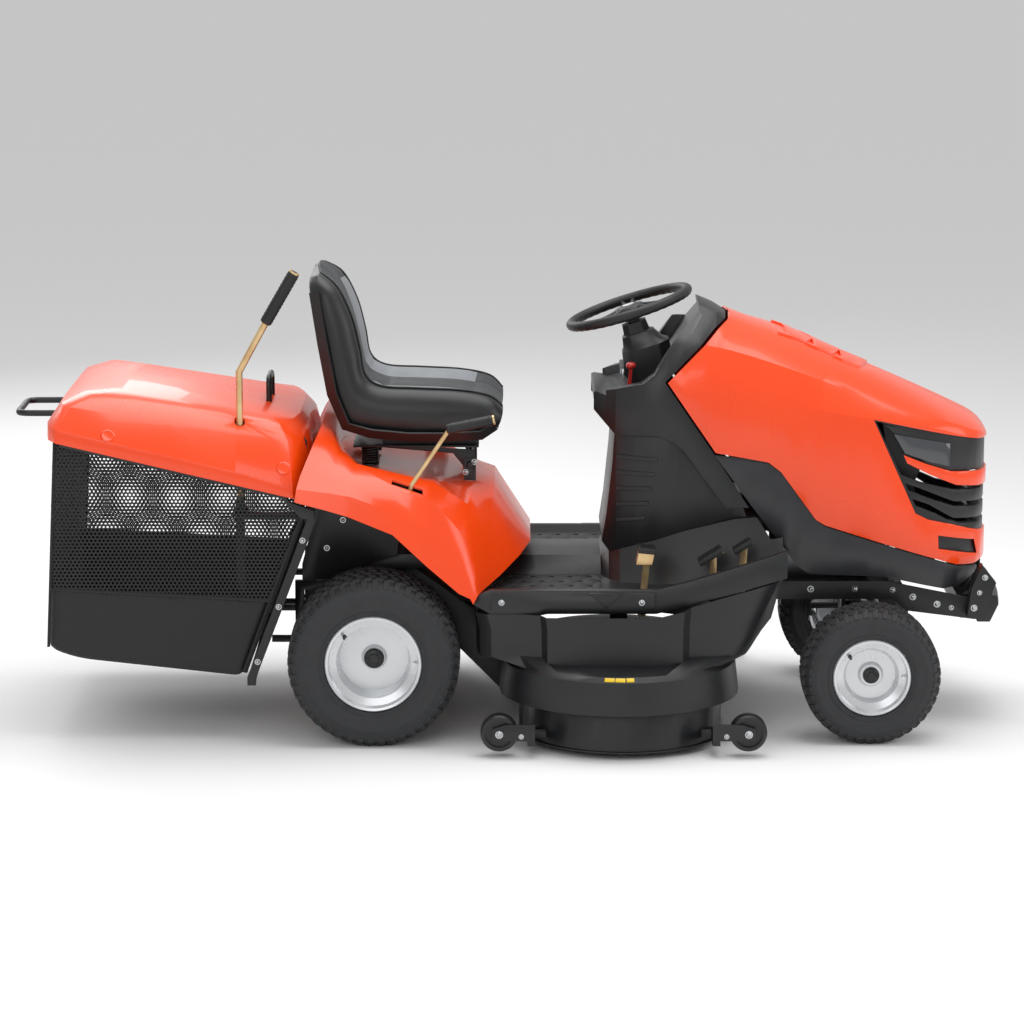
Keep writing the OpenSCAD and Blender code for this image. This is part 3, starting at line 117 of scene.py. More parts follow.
@dataclass(frozen=True)
class Finish:
    """One surface finish: colour, gloss, mottle and relief, each pattern sized in millimetres."""

    name: str
    slot: str
    colour: str
    roughness: float
    grain: Grain = Grain.MOULDED
    grain_mm: float = 1.6
    relief_mm: float = 0.05
    metallic: float = 0.0
    coat: float = 0.0
    sheen: float = 0.0
    transmission: float = 0.0
    shade: str = ""
    mottle_mm: float = 70.0
    spread: float = 0.06

    def relief(self, tree: bpy.types.NodeTree, place) -> object:
        """Draws the fine relief.

        Args:
            tree: the material's node tree.
            place: the output that gives the point on the object.

        Returns:
            The socket that holds the relief's height.
        """
        scale = 1 / (self.grain_mm * MM)
        if self.grain is Grain.BRUSHED:
            place = add_node(tree, "ShaderNodeMapping", {"Scale": (0.06, 1.0, 1.0)},
                {"Vector": place}).outputs[0]
        if self.grain is Grain.LEATHER:
            cells = add_node(tree, "ShaderNodeTexVoronoi", {"Scale": scale}, {"Vector": place},
                feature="SMOOTH_F1")
            return cells.outputs["Distance"]
        if self.grain is Grain.WOVEN:
            threads = [
                add_node(tree, "ShaderNodeTexWave", {"Scale": scale / WAVE_TURN}, {"Vector": place},
                bands_direction=way)
                for way in ("X", "Z")]
            crossed = {k: thread.outputs["Fac"] for k, thread in enumerate(threads)}
            return add_node(tree, "ShaderNodeMath", links=crossed, operation="MAXIMUM").outputs[0]
        detail = {Grain.PEEL: 0.0, Grain.MOULDED: 2.0, Grain.CAST: 4.0, Grain.DUSTY: 5.0}.get(self.grain, 1.0)
        waves = add_node(tree, "ShaderNodeTexNoise", {"Scale": scale, "Detail": detail}, {"Vector": place})
        return waves.outputs["Fac"]

    def material(self) -> bpy.types.Material:
        """Returns the finish as a material, made once."""
        if self.name in bpy.data.materials:
            return bpy.data.materials[self.name]
        made = bpy.data.materials.new(self.name)
        made.use_nodes = True
        tree = made.node_tree
        tree.nodes.clear()
        place = add_node(tree, "ShaderNodeTexCoord").outputs["Object"]
        mottle = add_node(tree, "ShaderNodeTexNoise", {"Scale": 1 / (self.mottle_mm * MM), "Detail": 3.0},
            {"Vector": place})
        ramp = add_node(tree, "ShaderNodeValToRGB", links={"Fac": mottle.outputs["Fac"]})
        for stop, at, colour in zip(ramp.color_ramp.elements, (0.3, 0.7), (self.shade or self.colour,
                self.colour)):
            stop.position = at
            stop.color = linear(colour)
        rough = add_node(
            tree, "ShaderNodeMapRange", {"To Min": max(self.roughness - self.spread, 0.02),
            "To Max": self.roughness + self.spread},
            {"Value": mottle.outputs["Fac"]})
        bump = add_node(tree, "ShaderNodeBump", {"Strength": 1.0, "Distance": self.relief_mm * MM},
            {"Height": self.relief(tree, place)})
        values = {"Metallic": self.metallic, "Coat Weight": self.coat, "Coat Roughness": 0.04,
            "Sheen Weight": self.sheen,
            "Transmission Weight": self.transmission}
        if not self.metallic:
            values["IOR"] = 1.5
        shader = add_node(tree, "ShaderNodeBsdfPrincipled", values,
            {"Base Color": ramp.outputs["Color"], "Roughness": rough.outputs["Result"],
            "Normal": bump.outputs["Normal"]})
        add_node(tree, "ShaderNodeOutputMaterial", links={"Surface": shader.outputs["BSDF"]})
        return made


# Polished ABS shells: clear, deep gloss over a saturated orange-red.
ORANGE = Finish("glossy_orange_abs", "orange_shell", "#FB4A08", 0.28, Grain.PEEL, 14.0, 0.02, coat=0.3,
    shade="#F64506", mottle_mm=400)
# Textured polypropylene: charcoal with a soft, broad highlight.
BLACK_PP = Finish("textured_black_polypropylene", "moulded_black", "#1C1D1F", 0.4, grain_mm=1.5,
    relief_mm=0.06, shade="#161719")
# Satin polypropylene of the trim under the hood: a shade lighter and smoother.
BEZEL = Finish("satin_charcoal_polypropylene", "bezel_grey", "#2B2C2F", 0.34, grain_mm=1.5, relief_mm=0.04,
    shade="#252628")
# Powder-coated sheet: black with a slight orange peel.
POWDER = Finish("black_powder_coat", "black_steel", "#18191B", 0.38, Grain.PEEL, 3.0, 0.05, shade="#141517")
DECK = Finish("black_deck_enamel", "deck_steel", "#1B1C1E", 0.34, Grain.PEEL, 5.0, 0.06, shade="#161719")
# Tyre rubber: dull charcoal, dusty in its pores.
TYRE = Finish("vulcanised_tyre_rubber", "tyre_rubber", "#2C2D2F", 0.66, Grain.DUSTY, 2.5, 0.12,
    shade="#242527", mottle_mm=25)
GRIP = Finish("soft_grip_rubber", "rubber_black", "#1A1A1B", 0.5, Grain.MOULDED, 1.6, 0.08, shade="#151516")
# Wheel lacquer: bright silver over pressed steel.
SILVER = Finish("silver_wheel_lacquer", "rim_silver", "#D9DBDD", 0.28, Grain.PEEL, 4.0, 0.03, metallic=0.55,
    coat=0.3, shade="#CFD1D4", mottle_mm=120)
ZINC = Finish("bright_zinc_plate", "zinc_steel", "#C6C8CA", 0.26, Grain.BRUSHED, 1.4, 0.03, metallic=1.0,
    shade="#A9ABAE", mottle_mm=18)
# Yellow passivated zinc: warm gold that drifts a little in hue.
GOLD = Finish("yellow_passivated_zinc", "gold_zinc", "#E3C896", 0.32, Grain.BRUSHED, 2.0, 0.03, metallic=0.75,
    shade="#D2AC7C", mottle_mm=40)
CAST = Finish("black_painted_casting", "cast_black", "#1E1F20", 0.5, Grain.CAST, 3.0, 0.2, shade="#17181A")
ALLOY = Finish("sand_cast_aluminium", "engine_alloy", "#8D9093", 0.45, Grain.CAST, 2.5, 0.15, metallic=0.9,
    shade="#777A7D")
# Embossed vinyl: black, with a lighter grey on the panels that are sat on.
VINYL = Finish("embossed_black_vinyl", "seat_vinyl", "#1B1C1E", 0.4, Grain.LEATHER, 2.2, 0.12,
    shade="#161718")
VINYL_TOP = Finish("dimpled_charcoal_vinyl", "seat_vinyl", "#303235", 0.52, Grain.LEATHER, 3.2, 0.25,
    shade="#292B2E")
VINYL_GREY = Finish("embossed_grey_vinyl", "seat_vinyl", "#85888C", 0.48, Grain.LEATHER, 2.2, 0.1,
    shade="#7B7E82")
CLOTH = Finish("coated_bag_cloth", "mesh_fabric", "#131415", 0.62, Grain.WOVEN, 2.4, 0.15, sheen=0.15,
    shade="#0F1011")
NET = Finish("knitted_bag_net", "mesh_fabric", "#17181A", 0.6, Grain.WOVEN, 1.6, 0.08, sheen=0.1,
    shade="#131416")
# Smoked polycarbonate lens.
LENS = Finish("smoked_polycarbonate", "lamp_lens", "#46494D", 0.1, Grain.PEEL, 20.0, 0.01, transmission=0.15,
    coat=0.6, shade="#3D4044", mottle_mm=200, spread=0.02)
TANK = Finish("milky_polyethylene", "tank_white", "#D8D5C8", 0.4, Grain.MOULDED, 2.0, 0.05, shade="#CFCBBC")
RED = Finish("red_abs", "red_plastic", "#B81E16", 0.3, Grain.PEEL, 5.0, 0.02, shade="#A81A13")
YELLOW = Finish("yellow_abs", "yellow_plastic", "#EBC51E", 0.32, Grain.PEEL, 5.0, 0.02, shade="#E2BC18")
FLOOR = Finish("pale_studio_floor", "", "#FBFBFB", 0.7, Grain.PEEL, 40.0, 0.0, mottle_mm=4000)

# CAD nodes that stay, with their finish and the width of their rounded edges in millimetres.
DRESSED = {
    "hood": (ORANGE, 1.6), "fender": (ORANGE, 0), "collector_cover": (ORANGE, 2.0),
    "grille": (BLACK_PP, 0.8), "hood_bezels": (BEZEL, 1.2), "headlamps": (LENS, 0.6),
    "console": (BLACK_PP, 1.5),
    "knee_panel": (BLACK_PP, 0.8), "footplate": (BLACK_PP, 1.0), "foot_mats": (GRIP, 0.6),
    "side_valances": (BLACK_PP, 1.0), "side_shields": (BLACK_PP, 0), "seat_shell": (VINYL, 0),
    "battery": (BLACK_PP, 2.0),
    "grass_chute": (BLACK_PP, 1.5), "fuel_cap": (BLACK_PP, 1.0), "fuel_tank": (TANK, 4.0),
    "frame": (POWDER, 0.8), "rear_panel": (POWDER, 0.8), "bumper": (POWDER, 2.0), "seat_bracket": (POWDER,
    0.6),
    "collector_frame": (POWDER, 1.0), "deck_shell": (DECK, 1.0), "deck_belt": (GRIP, 0),
    "engine": (ALLOY, 1.5), "transaxle": (ALLOY, 2.0), "drive_shaft": (ZINC, 0), "engine_pulley": (ZINC, 0.5),
    "blade_right": (ZINC, 0.4), "blade_left": (ZINC, 0.4), "tie_rod": (ZINC, 0),
    "front_axle": (CAST, 2.0), "knuckle_right": (CAST, 1.0), "knuckle_left": (CAST, 1.0),
    "rear_rim_right": (SILVER, 0), "rear_rim_left": (SILVER, 0), "front_rim_right": (SILVER, 0),
    "front_rim_left": (SILVER, 0),
    "tipping_lever": (GOLD, 0), "height_lever": (GOLD, 0),
    "gauge_wheel_fr": (BLACK_PP, 0), "gauge_wheel_fl": (BLACK_PP, 0), "gauge_wheel_rr": (BLACK_PP, 0),
    "gauge_wheel_rl": (BLACK_PP, 0),
    "drive_pedal_forward": (GOLD, 0.6), "drive_pedal_reverse": (GOLD, 0.6), "brake_pedal": (GOLD, 0.6),
    "throttle_lever": (RED, 0.4), "ignition_key": (ZINC, 0.4), "blade_switch": (YELLOW, 0.8),
}


def dress_nodes() -> None:
    """Gives each carried-over CAD node its finish, welded faces and softly rounded or split edges."""
    for name, (finish, edge) in DRESSED.items():
        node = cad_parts[name]
        node.data.materials.clear()
        node.data.materials.append(finish.material())
        node.data.polygons.foreach_set("use_smooth", [True] * len(node.data.polygons))
        node.data.polygons.foreach_set("material_index", [0] * len(node.data.polygons))
        node.modifiers.new("Weld", "WELD").merge_threshold = WELD_GAP
        if edge:
            bevel = node.modifiers.new("Rounded edges", "BEVEL")
            bevel.width = edge * MM
            bevel.segments = 2
            bevel.limit_method = "ANGLE"
            bevel.angle_limit = ROUNDED
            bevel.harden_normals = True
            bevel.use_clamp_overlap = True
        else:
            node.modifiers.new("Crisp edges", "EDGE_SPLIT").split_angle = SHARP
        LOG.info("dressed %s in %s", name, finish.name)


# ------------------------------------------------------------------ shapes
def turned(place: Point, axis: Point = (0, 0, 1)) -> Matrix:
    """Returns the matrix that puts a shape's origin at place and its Z along axis."""
    return Matrix.Translation(Vector(place)) @ Vector(axis).to_track_quat("Z", "Y").to_matrix().to_4x4()


def basis(x: Vector, y: Vector, z: Vector) -> Matrix:
    """Returns the matrix whose axes are x, y and z."""
    return Matrix((x, y, z)).transposed().to_4x4()


@dataclass
class Shape:
    """Points and faces in millimetres, gathered before they become one mesh."""

    verts: list[Vector] = field(default_factory=list)
    faces: list[tuple[int, ...]] = field(default_factory=list)

    def add(self, verts: list, faces: list, place: Matrix | None = None) -> None:
        """Adds points and faces, moved by place."""
        first = len(self.verts)
        self.verts += [place @ Vector(v) if place else Vector(v) for v in verts]
        self.faces += [tuple(first + k for k in f) for f in faces]

    def rings(self, loops: list[list], caps: bool = True, closed: bool = False, around: bool = True) -> None:
        """Joins loops of equal length.

        Args:
            loops: rows of points.
            caps: whether the first and last loops get a face.
            closed: whether the last loop joins the first.
            around: whether each loop closes on itself.
        """
        n, m = len(loops[0]), len(loops)
        faces = [
            (j * n + i, j * n + (i + 1) % n, (j + 1) % m * n + (i + 1) % n, (j + 1) % m * n + i)
            for j in range(m if closed else m - 1) for i in range(n if around else n - 1)]
        if caps and not closed:
            faces += [tuple(range(n)), tuple(range((m - 1) * n, m * n))]
        self.add([p for loop in loops for p in loop], faces)

    def lathe(self, profile: list[tuple[float, float]], place: Matrix, steps: int = 48,
            closed: bool = False) -> None:
        """Turns a profile of (radius, height) about Z, with a pole wherever the radius is 0."""
        loops = []
        for k in range(steps):
            a = 2 * math.pi * k / steps
            loops.append([place @ Vector((r * math.cos(a), r * math.sin(a), h)) for r, h in profile])
        self.rings(loops, caps=False, closed=True, around=closed)

    def tube(self, points: list, radius: float, sides: int = 14, closed: bool = False,
            flat: float = 1.0) -> None:
        """Sweeps a round or flattened section along points, without twist."""
        pts = [Vector(p) for p in points]
        n = len(pts)
        loops, up = [], None
        for i, p in enumerate(pts):
            ahead = pts[(i + 1) % n] if closed or i < n - 1 else p
            behind = pts[i - 1] if closed or i else p
            along = (ahead - behind).normalized()
            if up is None:
                up = along.orthogonal().normalized()
            up = (up - along * up.dot(along)).normalized()
            side = along.cross(up)
            loops.append([p + radius * (math.cos(a) * up + flat * math.sin(a) * side)
                for a in (2 * math.pi * k / sides for k in range(sides))])
        self.rings(loops, closed=closed)

    def slab(self, lo: Point, hi: Point, edge: float = 1.0, place: Matrix | None = None,
            segments: int = 3) -> None:
        """Adds a block with rounded edges."""
        block = bmesh.new()
        bmesh.ops.create_cube(block, size=1)
        size, middle = Vector(hi) - Vector(lo), (Vector(hi) + Vector(lo)) / 2
        for v in block.verts:
            v.co = Vector((v.co[k] * size[k] + middle[k] for k in range(3)))
        bmesh.ops.bevel(block, geom=list(block.edges), offset=min(edge, min(size) * 0.45), segments=segments,
            profile=0.5, affect="EDGES")
        block.verts.ensure_lookup_table()
        self.add([v.co.copy() for v in block.verts], [tuple(v.index for v in f.verts) for f in block.faces],
            place)
        block.free()

    def build(self, name: str) -> bpy.types.Object:
        """Makes the mesh object, with doubles merged, faces outwards and sharp edges marked.

        A face that was given twice is made once.

        Args:
            name: the piece's name.

        Returns:
            The object, at the origin, in metres.
        """
        work = bmesh.new()
        made = [work.verts.new(v * MM) for v in self.verts]
        for f in self.faces:
            loop = [made[k] for k in f]
            if len(set(loop)) > 2:
                try:
                    work.faces.new(loop)
                except ValueError:
                    continue
        bmesh.ops.remove_doubles(work, verts=list(work.verts), dist=1e-6)
        bmesh.ops.dissolve_degenerate(work, edges=list(work.edges), dist=1e-6)
        bmesh.ops.recalc_face_normals(work, faces=list(work.faces))
        for e in work.edges:
            e.smooth = len(e.link_faces) != 2 or e.calc_face_angle(0) < SHARP
        for f in work.faces:
            f.smooth = True
        mesh = bpy.data.meshes.new(name)
        work.to_mesh(mesh)
        work.free()
        made_object = bpy.data.objects.new(name, mesh)
        bpy.context.scene.collection.objects.link(made_object)
        return made_object


def settle(piece: bpy.types.Object, finish: Finish, body: str, *replaced: str) -> bpy.types.Object:
    """Gives a piece its finish and body, and hides the CAD nodes it stands for.

    Args:
        piece: the finished mesh object.
        finish: what its faces wear.
        body: the moving body that carries it.
        replaced: CAD nodes that it stands for.

    Returns:
        The piece.
    """
    if not piece.data.materials:
        piece.data.materials.append(finish.material())
    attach(piece, body)
    if replaced:
        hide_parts(*replaced)
    LOG.info("made %s (%d faces) on %s", piece.name, len(piece.data.polygons), body)
    return piece


def baked(piece: bpy.types.Object) -> bpy.types.Object:
    """Turns a piece with modifiers into a plain mesh of the same name and returns it."""
    bpy.context.view_layer.update()
    mesh = bpy.data.meshes.new_from_object(piece.evaluated_get(bpy.context.evaluated_depsgraph_get()))
    name, old = piece.name, piece.data
    piece.modifiers.clear()
    piece.data = mesh
    bpy.data.meshes.remove(old)
    mesh.name = name
    return piece


class Scatter:
    """Geometry Nodes that set a small shape at many places, each with its own turn and size."""

    def __init__(self) -> None:
        """Builds the tree once."""
        tree = bpy.data.node_groups.new("Set at places", "GeometryNodeTree")
        face = tree.interface
        face.new_socket("Places", in_out="INPUT", socket_type="NodeSocketGeometry")
        self.shape = face.new_socket("Shape", in_out="INPUT", socket_type="NodeSocketObject").identifier
        self.size = face.new_socket("Size", in_out="INPUT", socket_type="NodeSocketFloat").identifier
        self.finish = face.new_socket("Finish", in_out="INPUT", socket_type="NodeSocketMaterial").identifier
        face.new_socket("Pieces", in_out="OUTPUT", socket_type="NodeSocketGeometry")
        given = add_node(tree, "NodeGroupInput")
        shape = add_node(tree, "GeometryNodeObjectInfo", links={"Object": given.outputs["Shape"]})
        turn = add_node(tree, "GeometryNodeInputNamedAttribute", {"Name": "turn"}, data_type="FLOAT_VECTOR")
        stretch = add_node(tree, "GeometryNodeInputNamedAttribute", {"Name": "stretch"},
            data_type="FLOAT_VECTOR")
        rotation = add_node(tree, "FunctionNodeEulerToRotation", links={0: turn.outputs["Attribute"]})
        scaled = add_node(tree, "ShaderNodeVectorMath", links={0: stretch.outputs["Attribute"],
            "Scale": given.outputs["Size"]}, operation="SCALE")
        spread = add_node(tree, "GeometryNodeInstanceOnPoints", links={
            "Points": given.outputs["Places"], "Instance": shape.outputs["Geometry"],
            "Rotation": rotation.outputs[0], "Scale": scaled.outputs[0]})
        real = add_node(tree, "GeometryNodeRealizeInstances", links={"Geometry": spread.outputs[0]})
        worn = add_node(tree, "GeometryNodeSetMaterial", links={"Geometry": real.outputs[0],
            "Material": given.outputs["Finish"]})
        add_node(tree, "NodeGroupOutput", links={"Pieces": worn.outputs[0]})
        self.tree = tree

    def spread(self, name: str, shape: Shape, places: list[Matrix], finish: Finish,
            merge: bool = False) -> bpy.types.Object:
        """Sets the shape at each place and returns one plain mesh.

        Args:
            name: the piece's name.
            shape: the small shape, drawn round its origin in millimetres.
            places: one matrix in millimetres for each copy.
            finish: what the copies wear.
            merge: whether touching copies are joined.

        Returns:
            The piece.
        """
        template = shape.build(name + "_unit")
        mesh = bpy.data.meshes.new(name)
        mesh.from_pydata([m.translation * MM for m in places], [], [])
        turn = mesh.attributes.new("turn", "FLOAT_VECTOR", "POINT")
        stretch = mesh.attributes.new("stretch", "FLOAT_VECTOR", "POINT")
        for k, m in enumerate(places):
            turn.data[k].vector = m.to_euler()
            stretch.data[k].vector = m.to_scale()
        piece = bpy.data.objects.new(name, mesh)
        bpy.context.scene.collection.objects.link(piece)
        nodes = piece.modifiers.new("Places", "NODES")
        nodes.node_group = self.tree
        nodes[self.shape] = template
        nodes[self.size] = 1.0
        nodes[self.finish] = finish.material()
        if merge:
            piece.modifiers.new("Join", "WELD").merge_threshold = JOIN_GAP
        baked(piece)
        bpy.data.objects.remove(template)
        if not piece.data.materials:
            piece.data.materials.append(finish.material())
        return piece


def joined(name: str, parts: list[bpy.types.Object]) -> bpy.types.Object:
    """Joins mesh objects into the first one and names it."""
    with bpy.context.temp_override(active_object=parts[0], selected_editable_objects=parts,
        selected_objects=parts):
        bpy.ops.object.join()
    parts[0].name = name
    return parts[0]


def catmull(points: list, steps: int) -> list[Vector]:
    """Runs a smooth curve through points.

    Args:
        points: the points, of any size.
        steps: pieces between two of them.

    Returns:
        Every point of the curve, the given ones included.
    """
    pts = [Vector(p) for p in points]
    out = []
    for i in range(len(pts) - 1):
        a, b, c, d = pts[max(i - 1, 0)], pts[i], pts[i + 1], pts[min(i + 2, len(pts) - 1)]
        for k in range(steps):
            u = k / steps
            out.append(0.5 * (2 * b + (c - a) * u + (2 * a - 5 * b + 4 * c - d) * u**2 + (3 * b - a - 3 * c + d) * u**3))
    return out + [pts[-1]]


def mid_of(node: str) -> tuple[Vector, Vector]:
    """Returns a CAD node's centre and size, in millimetres."""
    lo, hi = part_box(node)
    return (lo + hi) / 2 / MM, (hi - lo) / MM


# ------------------------------------------------------------------ wheels
@dataclass
class TurfWheel:
    """A tubeless turf tyre with staggered tread blocks, and the cap on its hub."""

    node: str
    body: str
    side: int
    rim_r: float
    blocks: int
    rows: tuple[float, ...]
    depth: float
    cap_r: float
    cap_in: float

    def carcass(self, shape: Shape, place: Matrix, r: float, h: float) -> None:
        """Adds the casing: bead, ringed sidewalls, rounded shoulder and hollow inside."""
        q, t = self.rim_r, r - self.depth
        wall = [(q + 0.5, h - 18), (q + 0.8, h - 10), (q + 3, h - 6.5), (q + 8, h - 6), (q + 9.5, h - 4),
            (q + 13, h - 3.2),
            (q + 14, h - 4.4), (q + 17, h - 3.4), (q + 0.42 * (t - q), h - 1.6),
            (q + 0.52 * (t - q), h - 1.0), (q + 0.54 * (t - q), h - 0.2),
            (q + 0.6 * (t - q), h - 0.2), (q + 0.62 * (t - q), h - 1.2), (t - 22, h - 3), (t - 13, h - 8),
            (t - 5, h - 18), (t - 1.2, h - 34)]
        inside = [(q + 0.5, h - 28), (q + 14, h - 15), (t - 34, h - 12), (t - 18, h - 22), (t - 10, h - 40)]
        profile = wall + [(t, 0)] + [(a, -b) for a, b in reversed(wall)] + [(a, -b) for a,
            b in inside] + [(t - 9, 0)] + list(reversed(inside))
        shape.lathe(profile, place, steps=96, closed=True)

    def tread(self, scatter: Scatter, place: Matrix, r: float, h: float) -> bpy.types.Object:
        """Returns the tread blocks and shoulder lugs."""
        unit = Shape()
        unit.rings([[(x * s, y * s, z) for x, y in ((-0.5, -0.5), (0.5, -0.5), (0.5, 0.5), (-0.5, 0.5))]
            for z, s in ((0, 1), (0.75, 0.93), (1, 0.84))])
        spots = []
        pitch = 2 * math.pi * r / self.blocks
        for k in range(self.blocks):
            for j, y in enumerate(self.rows):
                a = 2 * math.pi * (k + 0.5 * (j % 2)) / self.blocks
                base = r - self.depth - 3 - 3.5 * (abs(y) / h) ** 3
                tall = r - 0.3 - 3.5 * (abs(y) / h) ** 3 - base
                up = Vector((math.cos(a), math.sin(a), 0))
                turn = basis(Vector((-up.y, up.x, 0)), Vector((0, 0, 1)), up)
                spin = Matrix.Rotation(math.radians(18 * (-1) ** j), 4, "Z") if y else Matrix()
                gap = self.rows[1] - self.rows[0] if len(self.rows) > 1 else 24
                spots.append(place @ Matrix.Translation(up * base + Vector((0, 0, y))) @ turn @ spin
                    @ Matrix.Diagonal((pitch * 0.72, gap * 0.74, tall, 1)))
            for s in (-1, 1):
                a = 2 * math.pi * (k + 0.25) / self.blocks
                up = Vector((math.cos(a), math.sin(a), 0))
                lean = (up * 0.8 + Vector((0, 0, s * 0.6))).normalized()
                slide = Vector((-up.y, up.x, 0))
                turn = basis(slide, lean.cross(slide), lean)
                at = up * (r - self.depth - 13) + Vector((0, 0, s * (h - 23)))
                spots.append(place @ Matrix.Translation(at) @ turn @ Matrix.Diagonal((pitch * 0.56, 34, 11.5,
                    1)))
        return scatter.spread(self.node + "_tread", unit, spots, TYRE)

    def build(self, scatter: Scatter) -> None:
        """Makes the tyre and the hub cap."""
        middle, size = mid_of(self.node)
        r, h = size.z / 2, size.y / 2
        place = turned(tuple(middle), (0, self.side, 0))
        casing = Shape()
        self.carcass(casing, place, r, h)
        tyre = casing.build(self.node + "_casing")
        tyre.data.materials.append(TYRE.material())
        settle(joined(self.node + "_treaded", [tyre, self.tread(scatter, place, r, h)]), TYRE, self.body,
            self.node)
        cap = Shape()
        z = h - self.cap_in
        c = self.cap_r
        cap.lathe([(0, z + 16), (c * 0.45, z + 15.4), (c * 0.5, z + 13), (c * 0.8, z + 12), (c * 0.95, z + 9),
            (c, z + 5), (c, z + 0.4), (0, z + 0.4)], place)
        for k in range(6):
            a = math.pi * k / 3
            cap.slab((c * 0.55, -1.5, z + 11), (c * 0.93, 1.5, z + 14), 0.6, place @ Matrix.Rotation(a, 4,
                "Z"))
        settle(cap.build(self.node + "_hub_cap"), BLACK_PP, self.body)
        stem = Shape()
        at = place @ Matrix.Rotation(2.4, 4, "Z") @ Matrix.Translation((self.rim_r - 26, 0, h - 40))
        stem.lathe([(0, 32), (3.6, 32), (3.9, 27), (3.9, 14), (4.6, 13), (5.6, 4), (7, 0), (0, 0)], at, 16)
        settle(stem.build(self.node + "_valve"), GRIP, self.body)


# ------------------------------------------------------------------ operator's place
COLUMN = Matrix.Translation((329, 0, 1113)) @ Matrix.Rotation(math.radians(-17.5), 4, "Y")


@dataclass
class SteeringWheel:
    """Thick-rimmed wheel with three dished spokes and a padded hub."""

    ring_r: float = 165.0
    grip_r: float = 13.9
    body: str = "steering_wheel"
    steps: int = 160
    sides: int = 20
    waves: int = 40
    wave_deep: float = 0.45

    def ring(self, a: float) -> list[Vector]:
        """Returns the rim's section at angle a, cut back a little where fingers lie."""
        wave = self.wave_deep * math.sin(self.waves * a)
        out = Vector((math.cos(a), math.sin(a), 0))
        section = []
        for j in range(self.sides):
            b = 2 * math.pi * j / self.sides
            r = self.grip_r - (wave + 0.5 if math.sin(b) < -0.2 else 0)
            section.append(COLUMN @ (out * (self.ring_r + r * math.cos(b)) + Vector((0, 0, r * math.sin(b)))))
        return section

    def build(self) -> None:
        """Makes the rim, the spokes, the hub's disc and the boot round the column."""
        rim = Shape()
        rim.rings([self.ring(2 * math.pi * k / self.steps) for k in range(self.steps)], closed=True)
        settle(rim.build("steering_rim"), GRIP, self.body, "steering_wheel")
        arms = Shape()
        for a in (90, 210, 330):
            turn = COLUMN @ Matrix.Rotation(math.radians(a), 4, "Z")
            for s in (-1, 1):
                rows = [(30, 18, -6, 9), (60, 17, -8, 7.5), (100, 15, -9, 6.5), (135, 17, -7, 6),
                    (156, 22, -3, 5)]
                arms.rings([[turn @ Vector((x, s * (w - 4) + dy, z + dz)) for dy, dz in ((-5, -t), (5, -t),
                    (5, t - 2), (2.5, t), (-2.5, t), (-5, t - 2))]
                    for x, w, z, t in rows])
            rows = [(26, 15, -6, 4), (60, 14, -10, 3), (96, 12, -11, 3)]
            arms.rings([[turn @ Vector((x, y * w, z + t * q)) for y, q in ((-1, -1), (1, -1), (1, 1),
                (-1, 1))] for x, w, z, t in rows])
        arms.lathe([(0, 7.6), (14, 7.4), (26, 6.2), (38, 3.5), (43, -2), (41, -14), (33, -30), (31, -34),
            (17, -36), (17, -41), (0, -41)], COLUMN)
        settle(arms.build("steering_spokes"), BLACK_PP, self.body)
        plate = Shape()
        plate.lathe([(0, 8.9), (15, 8.7), (16.5, 8.0), (16.8, 6.4), (0, 6.4)], COLUMN)
        settle(plate.build("steering_hub_disc"), SILVER, self.body)
        boot = Shape()
        rows = [(-42, 33, 33, 0), (-70, 36, 34, 0), (-74, 44, 40, 2), (-104, 56, 52, 8), (-112, 66, 60, 12),
            (-168, 70, 62, 4), (-206, 57, 57, 0)]
        boot.rings([[COLUMN @ Vector((cx + a * x, b * y, z)) for x, y in ((1, 0.5), (0.55, 1), (-0.55, 1),
            (-1, 0.5), (-1, -0.5), (-0.55, -1), (0.55, -1), (1, -0.5))]
            for z, a, b, cx in rows])
        settle(boot.build("steering_column_boot"), BLACK_PP, "chassis", "steering_column")


